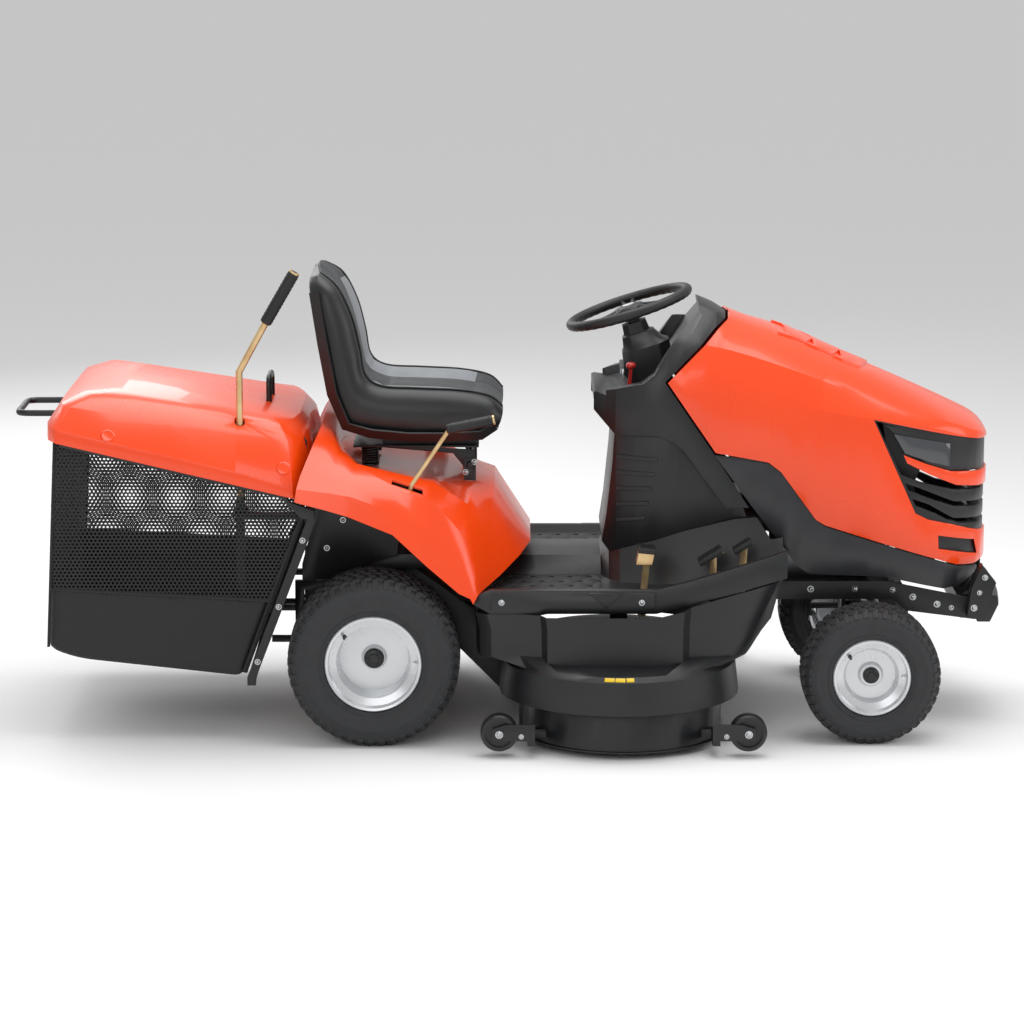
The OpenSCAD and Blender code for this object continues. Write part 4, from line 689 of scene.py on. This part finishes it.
@dataclass
class Seat:
    """One-piece bucket seat: sewn vinyl over foam, swollen between its seams."""

    width: float = 500.0
    swell: float = 7.0
    middle: tuple = ((-18, 858), (-56, 884), (-140, 898), (-250, 902), (-338, 908), (-392, 945), (-412, 1030),
        (-434, 1115), (-468, 1196), (-512, 1240))
    edge: tuple = ((-16, 866), (-52, 898), (-130, 914), (-245, 920), (-340, 926), (-384, 958), (-398, 1030),
        (-420, 1115), (-458, 1190), (-506, 1224))
    under: tuple = ((-30, 806), (-70, 782), (-170, 778), (-270, 779), (-372, 789), (-446, 812), (-486, 904),
        (-511, 1040), (-533, 1176), (-532, 1214))
    half: tuple = (0.86, 0.94, 0.98, 1, 1, 0.98, 0.95, 0.92, 0.84, 0.64)
    dent: tuple = (0, 0, 0, 0, 0, 14, 46, 50, 16, 0)
    seams: tuple = (5, 12)
    cross_seams: tuple = (0.17, 0.52, 0.87)
    under_from: int = 16
    closing: tuple = (0.85, 0.6, 0.3)
    frames: int = 20

    def section(self, m: Vector, e: Vector, u: Vector, c: Vector, w: float) -> list[Vector]:
        """Returns half a section, from the middle of the top round the bolster to the middle below."""
        return [(m[0], 0, m[1]), (m[0] * 0.93 + 0.07 * e[0], 0.2 * w, m[1] * 0.93 + 0.07 * e[1]),
            (0.68 * m[0] + 0.32 * e[0], 0.44 * w, 0.68 * m[1] + 0.32 * e[1]),
            (0.25 * m[0] + 0.75 * e[0], 0.62 * w, 0.25 * m[1] + 0.75 * e[1]), (e[0], 0.77 * w, e[1]),
            (0.82 * e[0] + 0.18 * u[0] + 4, 0.91 * w, 0.86 * e[1] + 0.14 * u[1]),
            (0.5 * e[0] + 0.5 * u[0] + 6, 0.985 * w, 0.58 * e[1] + 0.42 * u[1]), (0.2 * e[0] + 0.8 * u[0] + 4,
            0.95 * w, 0.25 * e[1] + 0.75 * u[1]),
            (u[0], 0.84 * w, 0.05 * e[1] + 0.95 * u[1]), (c[0], 0.48 * w, c[1] + 1), (c[0], 0, c[1] + 1)]

    def rows(self) -> list[list[Vector]]:
        """Returns closed sections from the front of the cushion to the top of the back."""
        steps = 6
        m, e, u = (catmull([(*p, 0) for p in t], steps) for t in (self.middle, self.edge, self.under))
        w = [v.x for v in catmull([(h * (self.width / 2 - 3), 0, 0) for h in self.half], steps)]
        depth = [v.x for v in catmull([(d, 0, 0) for d in self.dent], steps)]
        out = []
        for i in range(len(m)):
            run = u[min(i + 1, len(u) - 1)] - u[max(i - 1, 0)]
            inward = Vector((run.y, -run.x, 0)).normalized()
            half = catmull(self.section(m[i], e[i], u[i], u[i] + inward * (depth[i] + 1), w[i]), 3)
            out.append(half + [Vector((p.x, -p.y, p.z)) for p in reversed(half[1:-1])])
        return out

    def zone(self, along: float, across: int, count: int) -> int:
        """Returns which vinyl a face wears: 0 black, 1 dimpled charcoal, 2 grey."""
        k = min(across, count - across)
        inner, outer = self.seams
        if k > outer:
            return 0
        if along < self.cross_seams[0] or along > self.cross_seams[-1]:
            return 1
        return 2 if k > inner else 1

    def on_cross_seam(self, along: float) -> bool:
        """Tells whether a seam runs across the seat at a share of its length."""
        return min(abs(along - a) for a in self.cross_seams) < 0.01

    def swollen(self, piece: bpy.types.Object, held: list[int]) -> None:
        """Blows the panels up between the held seams with a short cloth run.

        Args:
            piece: the seat's closed mesh.
            held: vertices that stay where they are.
        """
        group = piece.vertex_groups.new(name="seams")
        group.add(held, 1.0, "REPLACE")
        cloth = piece.modifiers.new("Swell", "CLOTH")
        cloth.settings.use_pressure = True
        cloth.settings.uniform_pressure_force = 4.0
        cloth.settings.vertex_group_mass = "seams"
        cloth.settings.tension_stiffness = 18
        cloth.settings.compression_stiffness = 18
        cloth.settings.effector_weights.gravity = 0
        cloth.collision_settings.use_collision = False
        cloth.point_cache.frame_start, cloth.point_cache.frame_end = 1, self.frames
        for step in range(1, self.frames + 1):
            bpy.context.scene.frame_set(step)
        bpy.context.view_layer.update()
        moved = piece.evaluated_get(bpy.context.evaluated_depsgraph_get()).data.vertices
        target = [v.co.copy() for v in moved]
        bpy.context.scene.frame_set(1)
        piece.modifiers.remove(cloth)
        piece.vertex_groups.clear()
        for v, to in zip(piece.data.vertices, target):
            step = to - v.co
            if step.length > self.swell * MM:
                step *= self.swell * MM / step.length
            v.co += step

    def build(self) -> None:
        """Makes the cushion with its sewn panels, and its piping."""
        rows = self.rows()
        count = len(rows[0])
        last = len(rows) - 1
        cushion = Shape()
        ends = []
        for row, s in ((rows[0], 0), (rows[-1], 1)):
            centre = sum(row, Vector()) / count
            ends.append([[p.lerp(centre, t) + Vector((3.5 if s == 0 else -3, 0,
                0 if s == 0 else 3)) * math.sin(t * 2.2) for p in row] for t in self.closing])
        loops = ends[0] + rows + list(reversed(ends[1]))
        cushion.rings(loops)
        piece = cushion.build("seat_cushion_sewn")
        for finish in (VINYL, VINYL_TOP, VINYL_GREY):
            piece.data.materials.append(finish.material())
        flat = [(j - len(self.closing), i, p) for j, row in enumerate(loops) for i, p in enumerate(row)]
        tree = KDTree(len(flat))
        for n, (_, _, p) in enumerate(flat):
            tree.insert(p * MM, n)
        tree.balance()
        tags = [flat[tree.find(v.co)[1]][:2] for v in piece.data.vertices]
        for f in piece.data.polygons:
            near = [tags[v] for v in f.vertices]
            j = sum(t[0] for t in near) / len(near)
            across = sorted(t[1] if t[1] <= count / 2 else t[1] - count for t in near)
            middle = sum(across) / len(across)
            if abs(across[-1] - across[0]) > count / 3:
                middle = count / 2
            f.material_index = self.zone(j / last, math.ceil(abs(middle)), count)
        held = []
        for v, (j, i) in enumerate(tags):
            k = min(i, count - i)
            if k in self.seams or k > self.under_from or j < 0 or j > last or self.on_cross_seam(j / last):
                held.append(v)
        self.swollen(piece, held)
        for v, (j, i) in enumerate(tags):
            across = min(i, count - i)
            row = across <= self.seams[-1] and self.on_cross_seam(j / last)
            if 0 <= j <= last and (across in self.seams or row):
                piece.data.vertices[v].co -= piece.data.vertices[v].normal * 3 * MM
        smooth = piece.modifiers.new("Smooth", "SUBSURF")
        smooth.levels = smooth.render_levels = 2
        for e in piece.data.edges:
            e.use_edge_sharp = False
        baked(piece)
        settle(piece, VINYL, "seat", "seat_cushion")
        piping = Shape()
        for i in (self.seams[-1], count - self.seams[-1]):
            piping.tube([row[i] for row in rows], 2.6, 8)
        settle(piping.build("seat_piping"), VINYL, "seat")


@dataclass
class SeatSprings:
    """Two open coil springs between cups under the rear of the seat."""

    turns: float = 6.5
    wire: float = 3.2
    rise: float = 54.0

    def build(self) -> None:
        """Winds both springs."""
        coil = Shape()
        middle, size = mid_of("seat_springs")
        r, low = 21.0, middle.z - size.z / 2
        steps = int(self.turns * 24)
        for s in (-1, 1):
            y = s * (size.y / 2 - 25)
            coil.tube([(middle.x + r * math.cos(2 * math.pi * k / 24), y + r * math.sin(2 * math.pi * k / 24),
                low + self.wire + 1 + (self.rise - 2 * self.wire - 2) * k / steps) for k in range(steps + 1)],
                self.wire, 8)
            coil.lathe([(0, 3), (24, 3), (25, 0.5), (0, 0.5)], turned((middle.x, y, low)), 32)
            coil.lathe([(0, 0), (25, 0), (24, 3), (0, 3)], turned((middle.x, y, low + self.rise - 3.2)), 32)
        settle(coil.build("seat_coil_springs"), POWDER, "seat_base", "seat_springs")


@dataclass
class Grips:
    """Rubber sleeves on the levers and pads on the pedals."""

    pedal_y: float = -350.0

    def sleeve(self, name: str, body: str, start: Point, end: Point, radius: float, ribs: int,
            scatter: Scatter) -> None:
        """Makes a grip with raised ribs from start to end."""
        a, b = Vector(start), Vector(end)
        length = (b - a).length
        place = turned(start, tuple(b - a))
        grip = Shape()
        grip.lathe([(0, -3), (radius - 4, -3), (radius - 0.5, 0), (radius, 3), (radius, length - 6),
            (radius - 2, length - 1.5), (radius - 7, length + 0.8), (0, length + 1)], place, 32)
        body_piece = grip.build(name + "_sleeve")
        body_piece.data.materials.append(GRIP.material())
        ring = Shape()
        ring.lathe([(radius - 1, -1.6), (radius + 1.1, -1.0), (radius + 1.1, 1.0), (radius - 1, 1.6)],
            Matrix(), 28, closed=True)
        spots = [place @ Matrix.Translation((0, 0, 10 + (length - 24) * k / max(ribs - 1, 1)))
            for k in range(ribs)]
        settle(joined(name, [body_piece, scatter.spread(name + "_ribs", ring, spots, GRIP)]), GRIP, body)

    def pad(self, name: str, body: str, corners: tuple, wide: float, ribs: int) -> None:
        """Makes a rubber pad over a pedal's plate, with ribs across it."""
        (x0, z0), (x1, z1) = corners
        along, across = Vector((x1 - x0, 0, z1 - z0)), Vector((0, 1, 0))
        place = Matrix.Translation((x0, self.pedal_y, z0)) @ basis(along.normalized(), across,
            along.normalized().cross(across))
        length = along.length
        pad = Shape()
        pad.slab((-2, -wide / 2 - 1.5, -11), (length + 2, wide / 2 + 1.5, 3.2), 2.4, place)
        for k in range(ribs):
            x = 5 + (length - 10) * k / (ribs - 1)
            pad.slab((x - 1.7, -wide / 2 + 3, 2), (x + 1.7, wide / 2 - 3, 5), 0.9, place, 2)
        settle(pad.build(name), GRIP, body)

    def build(self, scatter: Scatter) -> None:
        """Makes every grip and pad."""
        self.sleeve("tipping_grip", "tipping_lever", (-640, -330, 1116), (-562, -330, 1250), 15.6, 13,
            scatter)
        self.sleeve("height_grip", "height_lever", (-160, -400, 842), (-36, -400, 868), 13.6, 3, scatter)
        self.pad("brake_pad", "brake_pedal", ((348, 516), (390, 512)), 64, 6)
        self.pad("forward_pad", "drive_pedal_forward", ((508, 479), (564, 514)), 60, 7)
        self.pad("reverse_pad", "drive_pedal_reverse", ((600, 509), (643, 536)), 48, 6)


# ------------------------------------------------------------------ collector
@dataclass
class GrassBag:
    """Bag of perforated net above a coated cloth tray, hemmed where it meets the frame."""

    half: float = 406.0
    pitch: float = 11.0
    hole: float = 3.9
    rear_top: tuple = (-1198.5, 823.0)
    rear_low: tuple = (-1228.0, 252.0)
    front_low: tuple = (-700.0, 182.0)
    front_top: tuple = (-544.0, 600.0)
    tray: tuple = (414.0, 382.0)

    def edge_x(self, z: float, rear: bool) -> float:
        """Returns where the bag's rear or front edge is at a height."""
        a, b = (self.rear_low, self.rear_top) if rear else (self.front_low, self.front_top)
        return a[0] + (b[0] - a[0]) * (z - a[1]) / (b[1] - a[1])

    def unit(self) -> Shape:
        """Returns one cell of the net: a hexagon round its hole."""
        cell = Shape()
        angles = [math.pi / 3 * k + math.pi / 6 for k in range(6)]
        outer = [(self.pitch / math.sqrt(3) * math.cos(a), self.pitch / math.sqrt(3) * math.sin(a), 0)
            for a in angles]
        inner = [(self.hole * math.cos(a), self.hole * math.sin(a), 0) for a in angles]
        cell.rings([outer, inner], caps=False)
        return cell

    def net(self, name: str, scatter: Scatter, place: Matrix, inside, extent: tuple) -> None:
        """Makes one panel of net.

        Args:
            name: the piece's name.
            scatter: the tree that sets the cells.
            place: from the panel's plane to the machine.
            inside: tells whether a cell at (u, v) is on the panel.
            extent: lowest u and v, highest u and v.
        """
        u0, v0, u1, v1 = extent
        rise = self.pitch * math.sqrt(3) / 2
        spots = []
        for j in range(int((v1 - v0) / rise) + 1):
            for i in range(int((u1 - u0) / self.pitch) + 1):
                u, v = u0 + (i + 0.5 * (j % 2)) * self.pitch, v0 + j * rise
                if inside(u, v):
                    sag = 5 * math.sin(math.pi * (u - u0) / (u1 - u0)) * math.sin(math.pi * (v - v0) / (v1 - v0))
                    spots.append(place @ Matrix.Translation((u, v, -sag)))
        panel = scatter.spread(name, self.unit(), spots, NET, merge=True)
        thick = panel.modifiers.new("Thread", "SOLIDIFY")
        thick.thickness = 0.9 * MM
        thick.offset = 0
        baked(panel)
        settle(panel, NET, "collector")

    def cloth_tray(self) -> bpy.types.Object:
        """Returns the cloth of the lower part: a lofted tub whose walls and floor sag."""

        def floor(x: float) -> float:
            """Returns the height of the tray's floor at x."""
            knots = [(-1228, 252), (-1157, 221), (-716, 172), (-700, 182)]
            for (xa, za), (xb, zb) in zip(knots, knots[1:]):
                if x <= xb:
                    return za + (zb - za) * (x - xa) / (xb - xa)
            return 182.0

        def plan(t: float, inset: float) -> list[Vector]:
            """Returns the tub's outline at a share of its height, drawn in by inset."""
            x0 = self.rear_low[0] + 2 + inset + 6 * t
            x1 = self.front_low[0] - 4 - inset + 76 * t
            y = self.half - 1.5 - inset
            r = max(26 - inset * 0.2, 8)
            corners = [(x1 - r, y - r, 0), (x0 + r, y - r, 90), (x0 + r, -y + r, 180), (x1 - r, -y + r, 270)]
            loop = []
            for n, (cx, cy, a0) in enumerate(corners):
                arc = [(cx + r * math.cos(math.radians(a0 + 90 * k / 4)),
                    cy + r * math.sin(math.radians(a0 + 90 * k / 4))) for k in range(5)]
                nx = corners[(n + 1) % 4]
                a1 = math.radians(nx[2])
                end = (nx[0] + r * math.cos(a1), nx[1] + r * math.sin(a1))
                loop += arc + [(arc[-1][0] + (end[0] - arc[-1][0]) * k / 9,
                    arc[-1][1] + (end[1] - arc[-1][1]) * k / 9) for k in range(1, 9)]
            out = []
            for x, y2 in loop:
                z = floor(x) * (1 - t) + self.tray_top(x) * t
                ripple = noise.noise(Vector((x, y2, z)) / 90) * 5 * math.sin(math.pi * t)
                out.append(Vector((x, y2 - math.copysign(abs(ripple) + 3 * math.sin(math.pi * t), y2), z)))
            return out

        tub = Shape()
        loops = [[p + Vector((0, 0, 3 + 4 * (1 - k / 6))) for p in plan(0, 20 + 60 * (6 - k))]
            for k in range(1, 7)]
        loops += [[p + Vector((0, 0, 2)) for p in plan(0, 6)]]
        loops += [plan(t, 0) for t in (0.06, 0.2, 0.4, 0.6, 0.8, 1.0)]
        tub.rings(loops, caps=False)
        tub.faces.append(tuple(range(len(loops[0]))))
        return tub.build("bag_tray")

    def build(self, scatter: Scatter) -> None:
        """Makes the net panels, the tray and the hems."""
        tray = self.cloth_tray()
        wall = tray.modifiers.new("Cloth", "SOLIDIFY")
        wall.thickness = 2 * MM
        wall.offset = -1
        smooth = tray.modifiers.new("Smooth", "SUBSURF")
        smooth.levels = smooth.render_levels = 1
        baked(tray)
        settle(tray, CLOTH, "collector", "grass_bag")
        low, high = 372.0, 826.0

        def top(x: float) -> float:
            """Returns the height of the cover's lip at x."""
            return self.rear_top[1] - 0.245 * (x - self.rear_top[0])

        def on_side(u: float, v: float) -> bool:
            """Tells whether a cell lies between the frame's edges, the tray and the lip."""
            between = self.edge_x(v, True) + 5 < u < self.edge_x(min(v, 600), False) - 5
            return between and self.tray_top(u) - 6 < v < min(top(u) - 2, high)

        for name, s in SIDES.items():
            place = Matrix.Translation((0, s * (self.half - 1.5), 0)) @ Matrix(((1, 0, 0, 0), (0, 0, s, 0),
                (0, 1, 0, 0), (0, 0, 0, 1)))
            self.net("bag_net_" + name, scatter, place, on_side, (-1225, low, -545, high))
        lean = Vector((self.rear_top[0] - self.rear_low[0], 0,
            self.rear_top[1] - self.rear_low[1])).normalized()
        back = basis(Vector((0, 1, 0)), lean, Vector((0, 1, 0)).cross(lean))
        place = Matrix.Translation((self.rear_low[0] + 2, 0, self.rear_low[1])) @ back
        self.net("bag_net_rear", scatter, place, lambda u, v: abs(u) < self.half - 8 and 155 < v < 566,
            (-self.half, 150, self.half, 570))
        hems = Shape()
        for s in (-1, 1):
            y = s * (self.half - 1.5)
            ramp = [(self.edge_x(z, False) - 4, y, z) for z in (186, 240, 320, 400, 480, 560, 600)] + [(-548,
                y, 640)]
            hems.tube(ramp, 9, 10, flat=0.28)
            hems.tube([(self.edge_x(z, True) + 4, y, z) for z in (256, 380, 500, 620, 740, 812)], 5, 10,
                flat=0.5)
            hems.tube([(x, y, self.tray_top(x)) for x in (-1216, -1100, -980, -860, -740, -626)], 5.5, 10,
                flat=0.35)
        settle(hems.build("bag_hems"), CLOTH, "collector")

    def tray_top(self, x: float) -> float:
        """Returns the height of the tray's brim at x."""
        return self.tray[0] + (self.tray[1] - self.tray[0]) * (x + 1220) / 600


# ------------------------------------------------------------------ small parts
class Skin:
    """The outer faces of CAD nodes, for seating small parts on them."""

    def __init__(self) -> None:
        """Starts with no node read."""
        self.trees: dict[str, BVHTree] = {}

    def seat(self, node: str, x: float, z: float, side: int) -> Matrix | None:
        """Finds where a line from the side meets a node.

        Args:
            node: the CAD node.
            x: place along the machine, in millimetres.
            z: height, in millimetres.
            side: -1 for the right side, 1 for the left.

        Returns:
            A matrix in millimetres with Z out of the face, or None where the line misses.
        """
        if node not in self.trees:
            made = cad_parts[node]
            points = [made.matrix_world @ v.co for v in made.data.vertices]
            self.trees[node] = BVHTree.FromPolygons(points, [tuple(f.vertices) for f in made.data.polygons])
        at, out, _, _ = self.trees[node].ray_cast(Vector((x * MM, side * 0.9, z * MM)), Vector((0, -side, 0)))
        if at is None:
            LOG.info("nothing of %s at x %d z %d", node, x, z)
            return None
        if out.y * side < 0:
            out = -out
        return turned(tuple(at / MM), tuple(out))


@dataclass
class Fasteners:
    """Domed bolts on washers, set where panels are held."""

    places: tuple = (
        ("side_valances", "chassis", -18, 392, 7), ("side_valances", "chassis", 352, 392, 7),
        ("footplate", "chassis", 645, 620, 6),
        ("bumper", "chassis", 1256, 330, 8), ("bumper", "chassis", 1284, 414, 7), ("bumper", "chassis", 1270,
        372, 6),
        ("frame", "chassis", 1161, 332, 8), ("frame", "chassis", 1095, 352, 8), ("frame", "chassis", 1200,
        322, 6), ("frame", "chassis", 1040, 372, 7),
        ("frame", "chassis", 818, 374, 8), ("frame", "chassis", 938, 374, 8), ("frame", "chassis", -92, 712,
        7), ("frame", "chassis", -116, 684, 7),
        ("rear_panel", "chassis", -445, 569, 7), ("rear_panel", "chassis", -489, 492, 7),
        ("rear_panel", "chassis", -330, 640, 6),
        ("deck_shell", "deck", -24, 66, 9), ("deck_shell", "deck", 630, 66, 9), ("deck_shell", "deck", 34, 60,
        6), ("deck_shell", "deck", 572, 60, 6),
        ("collector_frame", "collector", -545, 545, 7), ("collector_frame", "collector", -610, 365, 7),
        ("collector_frame", "collector", -668, 215, 7),
    )

    def build(self, scatter: Scatter, skin: Skin) -> None:
        """Sets the bolts on both sides, one piece for each body."""
        bolt = Shape()
        bolt.lathe([(0, 0.62), (0.3, 0.58), (0.62, 0.4), (0.78, 0.16), (0.8, 0.1), (1.15, 0.1), (1.2, -0.02),
            (0, -0.02)], Matrix(), 20)
        for body in sorted({p[1] for p in self.places}):
            spots = []
            for node, owner, x, z, size in self.places:
                for s in (-1, 1):
                    place = skin.seat(node, x, z, s) if owner == body else None
                    if place:
                        spots.append(place @ Matrix.Scale(size, 4))
            if spots:
                settle(scatter.spread(body + "_bolts", bolt, spots, ZINC), ZINC, body)


@dataclass
class Trim:
    """Small mouldings: bosses on the cover, blank tabs on the shields, boxes behind the lamps and bar handles."""

    def lugs(self, skin: Skin) -> None:
        """Makes the round bosses near the cover's lip."""
        made = Shape()
        for x, z in ((-1053, 827), (-592, 739)):
            for s in (-1, 1):
                place = skin.seat("collector_cover", x, z, s)
                if place:
                    made.lathe([(0, 2.4), (10, 2.2), (15, 3.6), (18, 2.4), (20, -2), (0, -2)], place, 28)
        settle(made.build("cover_lugs"), ORANGE, "collector")

    def tabs(self, skin: Skin) -> None:
        """Makes the small blank plates on the shields and the fenders."""
        made = Shape()
        for node, x, z, w, h in (("side_shields", 264, 218, 13, 6), ("side_shields", 292, 218, 13, 6),
                ("side_shields", 318, 218, 10, 6), ("fender", -12, 640, 34, 15)):
            for s in (-1, 1):
                place = skin.seat(node, x, z, s)
                if place:
                    out = place.to_3x3() @ Vector((0, 0, 1))
                    flat = Vector((0, 0, 1)).cross(out).normalized()
                    made.slab((-w, -h, -1), (w, h, 0.8), 0.7,
                        Matrix.Translation(place.translation) @ basis(flat, out.cross(flat), out))
        settle(made.build("blank_tabs"), YELLOW, "chassis")

    def lamp_boxes(self) -> None:
        """Makes the dark boxes behind the lamps, and dark sheets beside the louvres that stand in for the shade
        inside the hood (painted shade).
        """
        made = Shape()
        made.slab((1046, -168, 712), (1172, 168, 796), 6)
        # Dark sheets at both sides inside the hood: painted shade, put where the opening shows the hood's shaded
        # inside.
        shade_sheet = [(1004, 842), (1120, 818), (1180, 800), (1180, 706), (1112, 700), (1092, 652), (1104, 622),
            (1062, 622), (1030, 700)]
        for s in (-1, 1):
            made.rings([[(x, s * y, z) for x, z in shade_sheet] for y in (186, 189)])
        settle(made.build("lamp_boxes"), POWDER, "hood")

    def handles(self) -> None:
        """Makes the collector's two round-bar handles."""
        made = Shape()
        made.tube(catmull([(-1196, -111, 838), (-1290, -111, 838), (-1318, -106, 838), (-1330.5, -84, 838),
            (-1331, 0, 838), (-1330.5, 84, 838),
            (-1318, 106, 838), (-1290, 111, 838), (-1196, 111, 838)], 6), 8.6, 16)
        made.tube(catmull([(-652, -60.5, 822), (-652, -60.5, 888), (-652, -57, 914), (-652, -40, 926),
            (-652, 0, 926.5), (-652, 40, 926),
            (-652, 57, 914), (-652, 60.5, 888), (-652, 60.5, 822)], 6), 7.9, 16)
        settle(made.build("collector_bar_handles"), POWDER, "collector", "collector_handles")

    def build(self, skin: Skin) -> None:
        """Makes each small moulding."""
        self.lugs(skin)
        self.tabs(skin)
        self.lamp_boxes()
        self.handles()


# ------------------------------------------------------------------ studio
@dataclass
class Studio:
    """Pale floor, soft lights and the camera."""

    target: tuple = (0.0097, 0.0, 0.543)
    distance: float = 9.8
    elevation: float = 11.0
    lens: float = 124.9
    sky_fill: float = 0.58

    def camera(self) -> None:
        """Sets the camera on the machine's right side, a little above it."""
        data = bpy.data.cameras.new("camera")
        data.lens = self.lens
        data.sensor_width = 36
        eye = bpy.data.objects.new("camera", data)
        bpy.context.scene.collection.objects.link(eye)
        lift = math.radians(self.elevation)
        eye.location = Vector(self.target) + self.distance * Vector((0, -math.cos(lift), math.sin(lift)))
        eye.rotation_euler = Euler((math.pi / 2 - lift, 0, 0))
        bpy.context.scene.camera = eye

    def lamp(self, name: str, at: Point, size: tuple[float, float], power: float) -> None:
        """Hangs one soft box that faces the machine's middle."""
        data = bpy.data.lights.new(name, "AREA")
        data.shape = "RECTANGLE"
        data.size, data.size_y = size
        data.energy = power
        light = bpy.data.objects.new(name, data)
        bpy.context.scene.collection.objects.link(light)
        light.location = at
        light.rotation_euler = (Vector(at) - Vector((0, 0, 0.5))).to_track_quat("Z", "Y").to_euler()

    def build(self) -> None:
        """Makes the floor, the lights, the sky and the camera."""
        floor = Shape()
        floor.slab((-90000, -90000, -60), (90000, 90000, 0), 1)
        ground = floor.build("studio_floor")
        ground.data.materials.append(FLOOR.material())
        sky = bpy.data.worlds.new("sky")
        sky.use_nodes = True
        back = sky.node_tree.nodes["Background"]
        back.inputs["Color"].default_value = linear("#FFFFFF")
        ray = add_node(sky.node_tree, "ShaderNodeLightPath")
        seen = add_node(sky.node_tree, "ShaderNodeMapRange", {"To Min": self.sky_fill, "To Max": 1.0},
            {"Value": ray.outputs["Is Camera Ray"]})
        sky.node_tree.links.new(seen.outputs["Result"], back.inputs["Strength"])
        bpy.context.scene.world = sky
        bpy.context.scene.view_settings.view_transform = "Standard"
        self.lamp("top_box", (0.2, 0.3, 4.2), (4.5, 3.0), 120)
        self.lamp("side_box", (-1.5, -4.6, 2.6), (3.5, 2.2), 40)
        self.lamp("nose_box", (4.4, -1.8, 2.4), (2.4, 2.4), 40)
        self.lamp("back_box", (-2.5, 4.5, 3.0), (3.5, 2.0), 60)
        self.camera()


def main() -> None:
    """Builds every sub-assembly and the studio."""
    logging.basicConfig(level=logging.INFO, format="%(name)s: %(message)s")
    Studio().build()
    dress_nodes()
    scatter = Scatter()
    for name, side in SIDES.items():
        TurfWheel(f"rear_tyre_{name}", f"rear_wheel_{name}", side, 129, 46, (-68, -34, 0, 34, 68), 7.5, 27,
            82).build(scatter)
        TurfWheel(f"front_tyre_{name}", f"front_wheel_{name}", side, 104, 42, (-42, -14, 14, 42), 6, 22,
            42).build(scatter)
    SteeringWheel().build()
    Seat().build()
    SeatSprings().build()
    Grips().build(scatter)
    GrassBag().build(scatter)
    skin = Skin()
    Fasteners().build(scatter, skin)
    Trim().build(skin)


if __name__ == "__main__":
    main()
